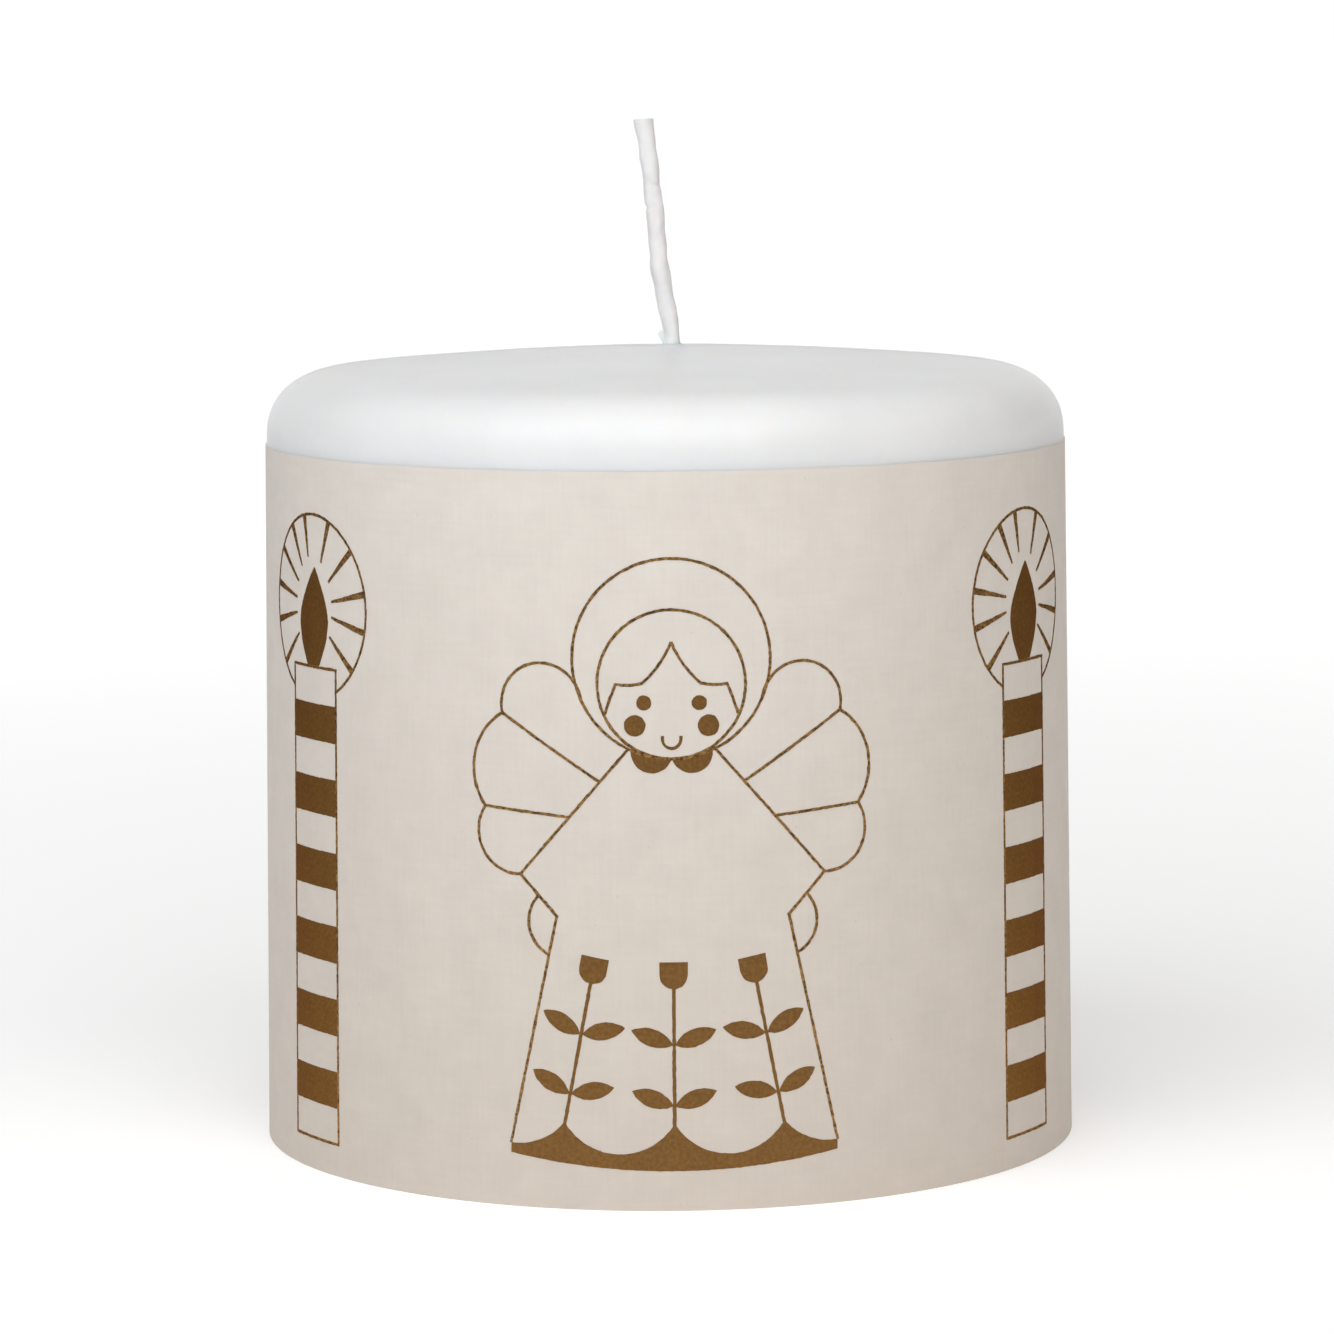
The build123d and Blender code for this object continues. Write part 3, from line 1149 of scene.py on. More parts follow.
def wrapped_mesh(
    flat: bpy.types.Mesh,
    form: PillarForm,
    finish: Finish,
    azimuth: float,
    copies: int = 1,
    step: float = 0.0,
) -> bpy.types.Mesh:
    """Lay a flat mesh round the pillar.

    Args:
        flat: the flat mesh, kept for further copies.
        form: the shared sizes.
        finish: the finish of the result.
        azimuth: place round the pillar, in degrees to the right of the front.
        copies: how many times the flat mesh is repeated upwards.
        step: height from one copy to the next.

    Returns:
        The wrapped mesh.
    """
    carrier = bpy.data.objects.new("carrier", flat)
    bpy.context.scene.collection.objects.link(carrier)
    values = {
        "Foot Radius": form.foot_radius,
        "Draft": form.draft,
        "Flat Radius": form.flat_radius(),
        "Azimuth": math.radians(azimuth),
        "Copies": copies,
        "Copy Step": step,
        "Finish": finish.material(),
    }
    add_tree(carrier, wrap_tree(), values)
    return baked_mesh(carrier, flat.name + "_wrapped")


@dataclass
class PrintedFilm:
    """The beige film: one sheet once round the pillar, its end lapped over its beginning.

    Attributes:
        form: the shared sizes.
        finish: the film.
        seam_azimuth: middle of the lap, in degrees to the right of the front.
        lap: width of the lap.
        ramp: length over which the upper layer comes down beside the lower one's end.
        foot_gap: height of its lower edge above the base.
        fullness: its thickness beside the room between the wax and its outside.
        columns: stretches along the sheet.
        rows: stretches up the sheet.
    """

    form: PillarForm
    finish: FilmFinish = field(default_factory=FilmFinish)
    seam_azimuth: float = -158.6
    lap: float = 3.0 * MM
    ramp: float = 0.9 * MM
    foot_gap: float = 0.02 * MM
    fullness: float = 0.98
    columns: int = 420
    rows: int = 14

    def build(self) -> bpy.types.Object:
        """Make the flat sheet, wrap it and name it.

        Returns:
            The piece.
        """
        azimuth = self.seam_azimuth + 180.0
        mesh = wrapped_mesh(self.flat_sheet(), self.form, self.finish, azimuth)
        mesh = sharpen(mesh, 40.0)
        return piece_from(mesh, "film_sheet", self.finish, ["printed_wrap"])

    def flat_sheet(self) -> bpy.types.Mesh:
        """The sheet before wrapping: a thin closed slab that steps up for its lap.

        Returns:
            The flat mesh with its own coordinates.
        """
        form = self.form
        half_round = math.pi * form.flat_radius()
        first, last = -half_round - self.lap / 2, half_round + self.lap / 2
        lap_start = half_round - self.lap / 2
        height = form.film_top - self.foot_gap
        levels = [self.foot_gap + height * n / self.rows for n in range(self.rows + 1)]
        work = bmesh.new()
        outer, inner = [], []
        for n in range(self.columns + 1):
            x = first + (last - first) * n / self.columns
            lift = form.film_thickness * smooth_step(lap_start - self.ramp, lap_start, x)
            under = lift - self.fullness * form.film_thickness
            outer.append([work.verts.new((x, lift, z)) for z in levels])
            inner.append([work.verts.new((x, under, z)) for z in levels])
        self.close_slab(work, outer, inner)
        return mesh_of(work, "film_flat", flat=True)

    def close_slab(self, work: bmesh.types.BMesh, outer: list[list], inner: list[list]) -> None:
        """Add the faces of a slab: its two sides and the four edges between them.

        Args:
            work: the work that the faces go into.
            outer: points of the outer side, column by column.
            inner: points of the inner side.
        """
        for n in range(self.columns):
            for m in range(self.rows):
                for side in (outer, inner):
                    here, there = side[n], side[n + 1]
                    work.faces.new((here[m], there[m], there[m + 1], here[m + 1]))
            for m in (0, self.rows):
                work.faces.new((outer[n][m], inner[n][m], inner[n + 1][m], outer[n + 1][m]))
        for n in (0, self.columns):
            for m in range(self.rows):
                work.faces.new((outer[n][m], outer[n][m + 1], inner[n][m + 1], inner[n][m]))


# ---------------------------------------------------------------- ink drawing


def arc_through(start: Point, middle: Point, end: Point, spacing: float) -> list[Point]:
    """Points of the circular arc through three points, both ends included.

    Args:
        start: first point.
        middle: a point on the way.
        end: last point.
        spacing: distance between the points that are made.

    Returns:
        The points in order.
    """
    (ax, ay), (bx, by), (cx, cy) = start, middle, end
    doubled = 2.0 * (ax * (by - cy) + bx * (cy - ay) + cx * (ay - by))
    a2, b2, c2 = ax * ax + ay * ay, bx * bx + by * by, cx * cx + cy * cy
    ox = (a2 * (by - cy) + b2 * (cy - ay) + c2 * (ay - by)) / doubled
    oy = (a2 * (cx - bx) + b2 * (ax - cx) + c2 * (bx - ax)) / doubled
    radius = math.hypot(ax - ox, ay - oy)
    begin = math.atan2(ay - oy, ax - ox)
    full = 2.0 * math.pi
    to_middle = (math.atan2(by - oy, bx - ox) - begin) % full
    to_end = (math.atan2(cy - oy, cx - ox) - begin) % full
    if to_middle > to_end:
        to_end -= full
    steps = max(2, math.ceil(abs(to_end) * radius / spacing))
    turns = [begin + to_end * n / steps for n in range(steps + 1)]
    return [(ox + radius * math.cos(t), oy + radius * math.sin(t)) for t in turns]


def straight(corners: Sequence[Point], spacing: float) -> list[Point]:
    """Points along straight runs between corners, both ends included.

    Args:
        corners: the corners in order.
        spacing: greatest distance between the points that are made.

    Returns:
        The points in order.
    """
    points = [corners[0]]
    for (ax, ay), (bx, by) in zip(corners, corners[1:]):
        steps = max(1, math.ceil(math.hypot(bx - ax, by - ay) / spacing))
        points += [
            (ax + (bx - ax) * n / steps, ay + (by - ay) * n / steps) for n in range(1, steps + 1)
        ]
    return points


def circle(centre: Point, radius: float, spacing: float) -> list[Point]:
    """Points of a whole circle, the first not repeated."""
    steps = max(12, math.ceil(2.0 * math.pi * radius / spacing))
    return arc_points(centre, (radius, radius), 0.0, 360.0, steps)[:-1]


def placed(point: Point, base: Point, turn: float) -> Point:
    """A point turned about the origin, counter-clockwise, and moved to a base."""
    (x, z), cos, sin = point, math.cos(turn), math.sin(turn)
    return (base[0] + x * cos - z * sin, base[1] + x * sin + z * cos)


def mirrored(points: Sequence[Point]) -> list[Point]:
    """The same points on the other side of the upright axis."""
    return [(-x, z) for x, z in points]


class InkDrawing:
    """Flat ink work in millimetres: areas and lines that melt together where they meet."""

    # Distance between points, spread of the rough edge and greatest width of a face, in mm.
    SPACING = 0.34
    ROUGH = 0.016
    COLUMN = 0.9

    def __init__(self, seed: int) -> None:
        """Start an empty drawing.

        Args:
            seed: seed for the roughness of its edges.
        """
        self.random = random.Random(seed)
        self.points: list[Point] = []
        self.faces: list[list[int]] = []

    def creep(self) -> float:
        """A hair's breadth, either way, that ink creeps along the threads."""
        return self.random.gauss(0.0, self.ROUGH)

    def roughened(self, points: Sequence[Point]) -> list[Point]:
        """Points moved as the ink creeps."""
        return [(x + self.creep(), z + self.creep()) for x, z in points]

    def area(self, outline: Sequence[Point]) -> None:
        """Add a filled area.

        Args:
            outline: its border in order, not closed.
        """
        border = self.roughened(outline)
        turned = sum(a[0] * b[1] - b[0] * a[1] for a, b in zip(border, border[1:] + border[:1]))
        if turned < 0.0:
            border.reverse()
        first = len(self.points)
        self.points += border
        self.faces.append(list(range(first, first + len(border))))

    def line(self, path: Sequence[Point], width: float, closed: bool = False) -> None:
        """Add a line of even width with mitred corners.

        Args:
            path: its middle, point by point.
            width: its width.
            closed: whether the end joins the start.
        """
        count = len(path)
        left, right = [], []
        for n, (x, z) in enumerate(path):
            before = path[n - 1] if closed or n else path[n]
            after = path[(n + 1) % count] if closed or n < count - 1 else path[n]
            normals = [
                Vector((-(b[1] - a[1]), b[0] - a[0])).normalized()
                for a, b in ((before, (x, z)), ((x, z), after))
                if a != b
            ]
            mean = sum(normals, Vector((0.0, 0.0))).normalized()
            reach = 0.5 * width / max(0.35, mean.dot(normals[0]))
            left.append((x + mean.x * reach, z + mean.y * reach))
            right.append((x - mean.x * reach, z - mean.y * reach))
        first = len(self.points)
        self.points += self.roughened(left) + self.roughened(right)
        for n in range(count if closed else count - 1):
            after = (n + 1) % count
            self.faces.append([first + n, first + count + n, first + count + after, first + after])

    def columns(self) -> tuple[list[Point], list[tuple[int, int]]]:
        """Upright cuts, so that no face is too wide to follow the round pillar.

        Returns:
            The ends of the cuts, and each cut as the numbers of its two ends.
        """
        xs = [x for x, _ in self.points]
        zs = [z for _, z in self.points]
        low, high = min(zs) - 1.0, max(zs) + 1.0
        count = math.ceil((max(xs) - min(xs)) / self.COLUMN)
        points, edges = [], []
        for n in range(count + 1):
            x = min(xs) + (max(xs) - min(xs)) * (n + 0.5) / (count + 1)
            edges.append((len(points), len(points) + 1))
            points += [(x, low), (x, high)]
        return points, edges

    def mesh(self, name: str, thickness: float) -> bpy.types.Mesh:
        """Join everything into closed flat slabs.

        Args:
            name: the mesh's name.
            thickness: thickness of the ink, in metres.

        Returns:
            The flat mesh with its own coordinates.
        """
        cuts, edges = self.columns()
        shift = len(self.points)
        inputs = [Vector(p) for p in self.points + cuts]
        edges = [(a + shift, b + shift) for a, b in edges]
        found = delaunay_2d_cdt(inputs, edges, self.faces, 0, 1e-4, True)
        points, triangles, sources = found[0], found[2], found[5]
        inked = [tri for tri, source in zip(triangles, sources) if source]
        work = bmesh.new()
        top: dict[int, bmesh.types.BMVert] = {}
        bottom: dict[int, bmesh.types.BMVert] = {}
        for n in sorted({n for tri in inked for n in tri}):
            x, z = points[n][0] * MM, points[n][1] * MM
            top[n] = work.verts.new((x, thickness, z))
            bottom[n] = work.verts.new((x, 0.0, z))
        border: dict[tuple[int, int], bool] = {}
        for tri in inked:
            work.faces.new([top[n] for n in tri])
            work.faces.new([bottom[n] for n in reversed(tri)])
            for a, b in zip(tri, tri[1:] + tri[:1]):
                if (b, a) in border:
                    del border[(b, a)]
                else:
                    border[(a, b)] = True
        for a, b in border:
            work.faces.new((top[b], top[a], bottom[a], bottom[b]))
        return mesh_of(work, name, smooth=False, flat=True)


@dataclass(frozen=True)
class CandleDrawing:
    """The striped candle with its glow, in millimetres.

    Attributes:
        line: width of a drawn line.
        stick_width: width of the striped stick.
        stick_low: height of its lower end.
        stripe: height of one stripe.
        stripes: number of stripes, bare and inked in turn.
        glow_z: height of the glow's middle.
        glow_radius: radius of the glow ring.
        flame_width: widest place of the flame.
        flame_foot: width of the flame on the stick.
        flame_height: height of the flame.
        flame_belly: share of that height where it is widest.
        flame_taper: how long it stays wide above its belly.
        flame_lean: sideways place of its tip.
        room_side: half-width of the oval round the flame where the rays start.
        room_up: reach of that oval above the glow's middle.
        room_down: its reach below.
        ray_inner: width of a ray by the flame.
        ray_outer: width of a ray at the ring.
        rays: direction of each ray, in degrees from upright to the right.
    """

    line: float = 0.27
    stick_width: float = 8.2
    stick_low: float = 3.1
    stripe: float = 3.5
    stripes: int = 13
    glow_z: float = 54.3
    glow_radius: float = 8.8
    flame_width: float = 5.5
    flame_foot: float = 2.3
    flame_height: float = 9.4
    flame_belly: float = 0.46
    flame_taper: float = 1.55
    flame_lean: float = 0.35
    room_side: float = 3.45
    room_up: float = 4.85
    room_down: float = 5.6
    ray_inner: float = 0.25
    ray_outer: float = 0.68
    rays: tuple[float, ...] = (-132, -103, -79, -54, -31, -11, 20, 49, 78, 102, 130)

    def stick_top(self) -> float:
        """Height of the stick's upper end."""
        return self.stick_low + self.stripes * self.stripe

    def lines(self) -> InkDrawing:
        """Outline of the stick, the ring and its rays.

        Returns:
            The drawing of the fine work.
        """
        ink = InkDrawing(seed=11)
        half, low, top = self.stick_width / 2, self.stick_low, self.stick_top()
        corners = [(-half, low), (half, low), (half, top), (-half, top)]
        outline = straight(corners + corners[:1], ink.SPACING)[:-1]
        ink.line(outline, self.line, closed=True)
        ink.line(self.glow_arc(ink.SPACING), self.line)
        for angle in self.rays:
            ink.area(self.ray(angle))
        return ink

    def glow_arc(self, spacing: float) -> list[Point]:
        """The ring as an open arc that starts and ends at the sides of the stick.

        Args:
            spacing: distance between its points.

        Returns:
            Its points, from right to left.
        """
        side = self.stick_width / 2
        drop = math.sqrt(self.glow_radius**2 - side**2)
        start, end = (side, self.glow_z - drop), (-side, self.glow_z - drop)
        return arc_through(start, (0.0, self.glow_z + self.glow_radius), end, spacing)

    def ray(self, angle: float) -> list[Point]:
        """One ray, narrow by the flame and wide at the ring.

        Args:
            angle: its direction, in degrees from upright to the right.

        Returns:
            Its border.
        """
        turn = math.radians(angle)
        room = self.room_up if abs(angle) < 90 else self.room_down
        inner = 1.0 / math.hypot(math.sin(turn) / self.room_side, math.cos(turn) / room)
        outer = self.glow_radius
        near, far = self.ray_inner / 2, self.ray_outer / 2
        wedge = [(-near, inner), (near, inner), (far, outer), (-far, outer)]
        spaced = straight(wedge + wedge[:1], 0.6)[:-1]
        return [placed(point, (0.0, self.glow_z), -turn) for point in spaced]

    def stripe_area(self) -> InkDrawing:
        """The lowest inked stripe; the others are copies of it.

        Returns:
            The drawing of the stripe.
        """
        ink = InkDrawing(seed=12)
        half = (self.stick_width - self.line) / 2
        low = self.stick_low + self.stripe
        corners = [(-half, low), (half, low), (half, low + self.stripe), (-half, low + self.stripe)]
        ink.area(straight(corners + corners[:1], ink.SPACING)[:-1])
        return ink

    def flame_area(self) -> InkDrawing:
        """The flame: a round belly, a narrow foot and a pointed tip.

        Returns:
            The drawing of the flame.
        """
        ink = InkDrawing(seed=13)
        foot = self.stick_top() + self.line / 2
        steps = 40
        right, left = [], []
        for n in range(steps + 1):
            share = n / steps
            x, z = self.flame_lean * share**2, foot + self.flame_height * share
            half = self.flame_at(share) / 2
            right.append((x + half, z))
            left.append((x - half, z))
        ink.area(right + left[-2::-1])
        return ink

    def flame_at(self, share: float) -> float:
        """Width of the flame.

        Args:
            share: how far up, 0 to 1.

        Returns:
            The width there.
        """
        if share < self.flame_belly:
            rise = math.sin(0.5 * math.pi * share / self.flame_belly)
            return self.flame_foot + (self.flame_width - self.flame_foot) * rise
        fall = (share - self.flame_belly) / (1.0 - self.flame_belly)
        return self.flame_width * (1.0 - fall**self.flame_taper)


@dataclass(frozen=True)
class Stem:
    """One flower of the gown.

    Attributes:
        foot: sideways place of its foot.
        lean: how far it leans towards the left, in degrees.
        top: height of the stem's top.
        leaves: distance of each pair of leaves up the stem.
        leaf_root: distance of a leaf's inner end from the stem's middle.
        leaf_tip: its outer end, from the middle of the stem and its own foot.
        leaf_half: half of its width.
        bloom_half: half the width of the bloom, and its depth below the straight sides.
        bloom_height: height of the bloom.
    """

    foot: float
    lean: float
    top: float
    leaves: tuple[float, ...]
    leaf_root: float = 0.08
    leaf_tip: Point = (3.9, 1.4)
    leaf_half: float = 0.82
    bloom_half: float = 1.3
    bloom_height: float = 2.5

    def leaf(self, side: float, height: float, gap: float) -> list[Point]:
        """One leaf between two arcs, from the stem out to its tip and back.

        Args:
            side: 1 for a leaf on the right, -1 on the left.
            height: how far up the stem it grows.
            gap: distance between its points.

        Returns:
            Its border.
        """
        root = (side * self.leaf_root, height)
        tip = (side * self.leaf_tip[0], height + self.leaf_tip[1])
        run, rise = tip[0] - root[0], tip[1] - root[1]
        span = math.hypot(run, rise)
        middle = ((root[0] + tip[0]) / 2, (root[1] + tip[1]) / 2)
        out = (-rise / span * self.leaf_half, run / span * self.leaf_half)
        upper = arc_through(root, (middle[0] + out[0], middle[1] + out[1]), tip, gap)
        lower = arc_through(tip, (middle[0] - out[0], middle[1] - out[1]), root, gap)
        return upper + lower[1:-1]

    def bloom(self, length: float, gap: float) -> list[Point]:
        """The cup-shaped bloom, straight above and round below.

        Args:
            length: length of the stem.
            gap: distance between its points.

        Returns:
            Its border.
        """
        half, rim = self.bloom_half, length + self.bloom_height
        cup = arc_through((half, length + half), (0.0, length), (-half, length + half), gap)
        return [(-half, rim), (0.0, rim), (half, rim)] + cup


@dataclass(frozen=True)
class AngelDrawing:
    """A plain angel built from circles, arcs and straight lines, in millimetres.

    Attributes:
        line: width of a drawn line.
        halo_z: height of the halo's middle.
        halo_radius: radius of the halo.
        head_z: height of the head's middle.
        head_radius: radius of the head.
        neck: top end of the cape's edge, on the right.
        elbow: the cape's widest point.
        waist: where the cape meets the gown.
        hem_corner: lower corner of the gown.
        wing_root: start of the first wing scallop.
        lobe_tops: a point on the way of each wing scallop.
        lobe_ends: end of each wing scallop.
        feathers: where the lines across the wing meet the cape's edge, as shares of it.
        hand: start, middle and end of the hand's arc.
        hem_peak: height of the hem's peaks.
        hem_valley: height of its valleys.
        hem_side_rise: how much higher than the corner the outer valley lies.
        hem_edge: height of the hem band at its corner.
        hem_low: lowest place of the hem.
        eye: middle of the eye, from the middle of the head.
        eye_radius: its radius.
        cheek: middle of the cheek, from the middle of the head.
        cheek_radius: its radius.
        collar: inner end, lowest place, outer end and upper edge, from the chin.
        fringe: points of the fringe on the right, from the middle of the head.
        smile: points of the smile's right half, from the middle of the head.
        middle_stem: the middle flower.
        side_stem: the flower on the right.
    """

    line: float = 0.27
    halo_z: float = 51.3
    halo_radius: float = 9.2
    head_z: float = 48.95
    head_radius: float = 6.85
    neck: Point = (4.0, 43.0)
    elbow: Point = (14.3, 31.2)
    waist: Point = (10.8, 27.4)
    hem_corner: Point = (15.4, 6.0)
    wing_root: Point = (8.4, 47.6)
    lobe_tops: tuple[Point, ...] = ((13.2, 50.7), (18.9, 42.0), (18.0, 33.2))
    lobe_ends: tuple[Point, ...] = ((16.0, 46.1), (17.8, 37.4), (14.3, 31.2))
    feathers: tuple[float, ...] = (0.26, 0.54)
    hand: tuple[Point, ...] = ((12.6, 29.2), (13.5, 26.5), (11.6, 23.8))
    hem_peak: float = 8.2
    hem_valley: float = 5.3
    hem_side_rise: float = 0.35
    hem_edge: float = 0.9
    hem_low: float = 3.75
    eye: Point = (2.55, -1.7)
    eye_radius: float = 0.70
    cheek: Point = (3.4, -3.8)
    cheek_radius: float = 1.0
    collar: tuple[Point, ...] = ((0.05, -0.15), (2.15, -1.3), (3.75, 1.0), (1.95, 0.15))
    fringe: tuple[Point, ...] = (
        (0.0, 3.9),
        (1.3, 1.6),
        (2.7, 0.1),
        (3.9, -0.06),
        (5.15, 0.0),
        (5.6, -1.15),
        (6.15, -2.75),
    )
    smile: tuple[Point, ...] = ((0.0, -5.9), (0.6, -5.65), (0.85, -5.05), (0.85, -4.75))
    middle_stem: Stem = Stem(0.0, 0.0, 20.75, (1.9, 7.6))
    side_stem: Stem = Stem(10.2, 10.8, 21.2, (3.0, 8.7))

    def lines(self) -> InkDrawing:
        """Halo, head, fringe, scalloped wings, cape, gown and hands.

        Returns:
            The drawing of the fine work.
        """
        ink = InkDrawing(seed=21)
        gap = ink.SPACING
        ink.line(circle((0.0, self.halo_z), self.halo_radius, gap), self.line, closed=True)
        ink.line(circle((0.0, self.head_z), self.head_radius, gap), self.line, closed=True)
        for path in self.half_lines(gap):
            ink.line(path, self.line)
            ink.line(mirrored(path), self.line)
        return ink

    def half_lines(self, gap: float) -> list[list[Point]]:
        """The open lines of the right half.

        Args:
            gap: distance between their points.

        Returns:
            The middle of each line.
        """
        starts = (self.wing_root,) + self.lobe_ends[:-1]
        paths = [
            arc_through(start, top, end, gap)
            for start, top, end in zip(starts, self.lobe_tops, self.lobe_ends)
        ]
        for end, share in zip(self.lobe_ends, self.feathers):
            paths.append(straight([end, self.cape_edge(share)], gap))
        paths.append(straight([self.neck, self.elbow, self.waist, self.hem_corner], gap))
        paths.append(arc_through(*self.hand, gap))
        fringe = self.on_head(self.fringe)
        hair = arc_through(*fringe[:3], gap)
        hair += arc_through(*fringe[2:5], gap)[1:] + arc_through(*fringe[4:], gap)[1:]
        paths.append(hair)
        return paths

    def on_head(self, points: Iterable[Point]) -> list[Point]:
        """Points given from the middle of the head, in the drawing."""
        return [(x, self.head_z + rise) for x, rise in points]

    def cape_edge(self, share: float) -> Point:
        """Point on the cape's edge, a share of the way from neck to elbow."""
        (ax, az), (bx, bz) = self.neck, self.elbow
        return (ax + share * (bx - ax), az + share * (bz - az))

    def areas(self) -> InkDrawing:
        """Face marks, collar, hem and three flowers.

        Returns:
            The drawing of the solid work.
        """
        ink = InkDrawing(seed=22)
        gap = ink.SPACING
        eye, cheek = self.on_head((self.eye, self.cheek))
        half = [
            circle(eye, self.eye_radius, gap),
            circle(cheek, self.cheek_radius, gap),
            self.collar_half(gap),
            self.hem_half(gap),
        ]
        for outline in half:
            ink.area(outline)
            ink.area(mirrored(outline))
        smile = self.on_head(self.smile)
        right = arc_through(*smile[:3], gap) + straight(smile[2:], gap)[1:]
        ink.line(mirrored(right[:0:-1]) + right, self.line)
        self.add_flower(ink, self.middle_stem)
        self.add_flower(ink, self.side_stem)
        self.add_flower(ink, self.side_stem, flipped=True)
        return ink

    def collar_half(self, gap: float) -> list[Point]:
        """Right scallop of the collar, hung from the chin.

        Args:
            gap: distance between its points.

        Returns:
            Its border.
        """
        chin = self.head_z - self.head_radius
        inner, low, outer, upper = [(x, chin + rise) for x, rise in self.collar]
        return arc_through(inner, low, outer, gap) + arc_through(outer, upper, inner, gap)[1:-1]

    def hem_half(self, gap: float) -> list[Point]:
        """Right half of the hem band: waves above, one long arc below.

        Args:
            gap: distance between its points.

        Returns:
            Its border.
        """
        corner, foot = self.hem_corner, self.side_stem.foot
        corner_low = (corner[0], corner[1] - self.hem_edge)
        low_sag = self.hem_low + 0.25 * (corner_low[1] - self.hem_low)
        outline = arc_through((0.0, self.hem_low), (corner[0] / 2, low_sag), corner_low, gap)
        outline += [corner]
        valley = ((foot + corner[0]) / 2, corner[1] + self.hem_side_rise)
        outline += arc_through(corner, valley, (foot, self.hem_peak), gap)[1:]
        middle = (foot / 2, self.hem_valley)
        outline += arc_through((foot, self.hem_peak), middle, (0.0, self.hem_peak), gap)[1:]
        return outline

    def add_flower(self, ink: InkDrawing, stem: Stem, flipped: bool = False) -> None:
        """Add a stem with its pairs of leaves and its bloom.

        Args:
            ink: the drawing that it goes into.
            stem: the flower.
            flipped: whether it stands on the left.
        """
        foot = (stem.foot, self.hem_peak - self.line)
        turn = math.radians(stem.lean)
        length = (stem.top - foot[1]) / math.cos(turn)

        def on_gown(points: Iterable[Point]) -> list[Point]:
            """Points from the stem's own place to the gown's."""
            there = [placed(point, foot, turn) for point in points]
            return mirrored(there) if flipped else there

        stalk = straight([(0.0, 0.0), (0.0, length + 0.2)], ink.SPACING)
        ink.line(on_gown(stalk), 1.2 * self.line)
        for height in stem.leaves:
            for side in (-1.0, 1.0):
                ink.area(on_gown(stem.leaf(side, height, ink.SPACING)))
        ink.area(on_gown(stem.bloom(length, ink.SPACING)))


@dataclass
class Print:
    """All the ink round the film.

    Attributes:
        form: the shared sizes.
        finish: the ink.
        line_finish: the same ink where a thin line lets its coarse grain show.
        pitch: angle from one motif to the next.
        thickness: thickness of the ink.
        solid_share: thickness of solid work beside that of lines, so that no two faces meet.
        places: name, drawing and step round the film of each motif.
    """

    form: PillarForm
    finish: InkFinish = field(default_factory=InkFinish)
    line_finish: InkFinish = InkFinish(
        name="bronze_pigment_in_lines", colour=(0.270, 0.150, 0.056), deep=0.42, bright=1.65
    )
    pitch: float = 58.8
    thickness: float = 0.03 * MM
    solid_share: float = 0.86
    places: tuple[tuple[str, Motif, int], ...] = (
        ("angel_front", Motif.ANGEL, 0),
        ("candle_right", Motif.CANDLE, 1),
        ("angel_rear_right", Motif.ANGEL, 2),
        ("candle_rear", Motif.CANDLE, 3),
        ("angel_rear_left", Motif.ANGEL, -2),
        ("candle_left", Motif.CANDLE, -1),
    )

    def build(self) -> None:
        """Draw each motif once and lay its copies round the film."""
        candle, angel = CandleDrawing(), AngelDrawing()
        lines = {
            Motif.ANGEL: angel.lines().mesh("angel_lines_flat", self.thickness),
            Motif.CANDLE: candle.lines().mesh("candle_lines_flat", self.thickness),
        }
        under_lines = self.solid_share * self.thickness
        angel_areas = angel.areas().mesh("angel_areas_flat", under_lines)
        flame = candle.flame_area().mesh("flame_flat", under_lines)
        stripe = candle.stripe_area().mesh("stripe_flat", under_lines)
        inked = candle.stripes // 2
        for name, motif, step in self.places:
            azimuth = step * self.pitch
            outline = [(lines[motif], 1, 0.0)]
            self.lay(f"{name}_line_ink", outline, azimuth, f"ink_{name}_lines", self.line_finish)
            if motif is Motif.ANGEL:
                layers = [(angel_areas, 1, 0.0)]
            else:
                layers = [(flame, 1, 0.0), (stripe, inked, 2 * candle.stripe * MM)]
            self.lay(f"{name}_solid_ink", layers, azimuth, f"ink_{name}_solids", self.finish)

    def lay(
        self,
        name: str,
        layers: Sequence[tuple[bpy.types.Mesh, int, float]],
        azimuth: float,
        node: str,
        finish: InkFinish,
    ) -> bpy.types.Object:
        """Wrap flat layers round the film as one piece.

        Args:
            name: the piece's name.
            layers: flat mesh, copies and step upwards of each layer.
            azimuth: place round the film, in degrees.
            node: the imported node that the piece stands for.
            finish: the ink's finish.

        Returns:
            The piece.
        """
        work = bmesh.new()
        for flat, copies, step in layers:
            part = wrapped_mesh(flat, self.form, finish, azimuth, copies, step)
            work.from_mesh(part)
            bpy.data.meshes.remove(part)
        mesh = bpy.data.meshes.new(name)
        for face in work.faces:
            face.material_index = 0
        work.to_mesh(mesh)
        work.free()
        return piece_from(mesh, name, finish, [node])


# ---------------------------------------------------------------- wick


@dataclass(frozen=True)
class Dent:
    """A local hollow or swelling of the wick.

    Attributes:
        z: its height, in metres.
        reach: its half-height.
        depth: how far it goes in; below zero it swells out.
        way: the side it faces, or no side for all round.
    """

    z: float
    reach: float
    depth: float
    way: tuple[float, float, float] | None = None

    def push(
        self, graph: Graph, z: bpy.types.NodeSocket, normal: bpy.types.NodeSocket
    ) -> bpy.types.NodeSocket:
        """How far it moves the surface out: a bell curve along the wick.

        Args:
            graph: the wick's tree.
            z: height of the point.
            normal: normal of the surface there.

        Returns:
            The distance's socket.
        """
        off = graph.maths("DIVIDE", graph.maths("SUBTRACT", z, self.z), self.reach)
        power = graph.maths("MULTIPLY", graph.maths("POWER", off, 2.0), -1.0)
        bell = graph.maths("POWER", math.e, power)
        if self.way is not None:
            facing = graph.add(
                "ShaderNodeVectorMath", {0: normal, 1: self.way}, operation="DOT_PRODUCT"
            ).outputs["Value"]
            bell = graph.maths("MULTIPLY", bell, graph.maths("MAXIMUM", facing, 0.0))
        return graph.maths("MULTIPLY", bell, -self.depth)


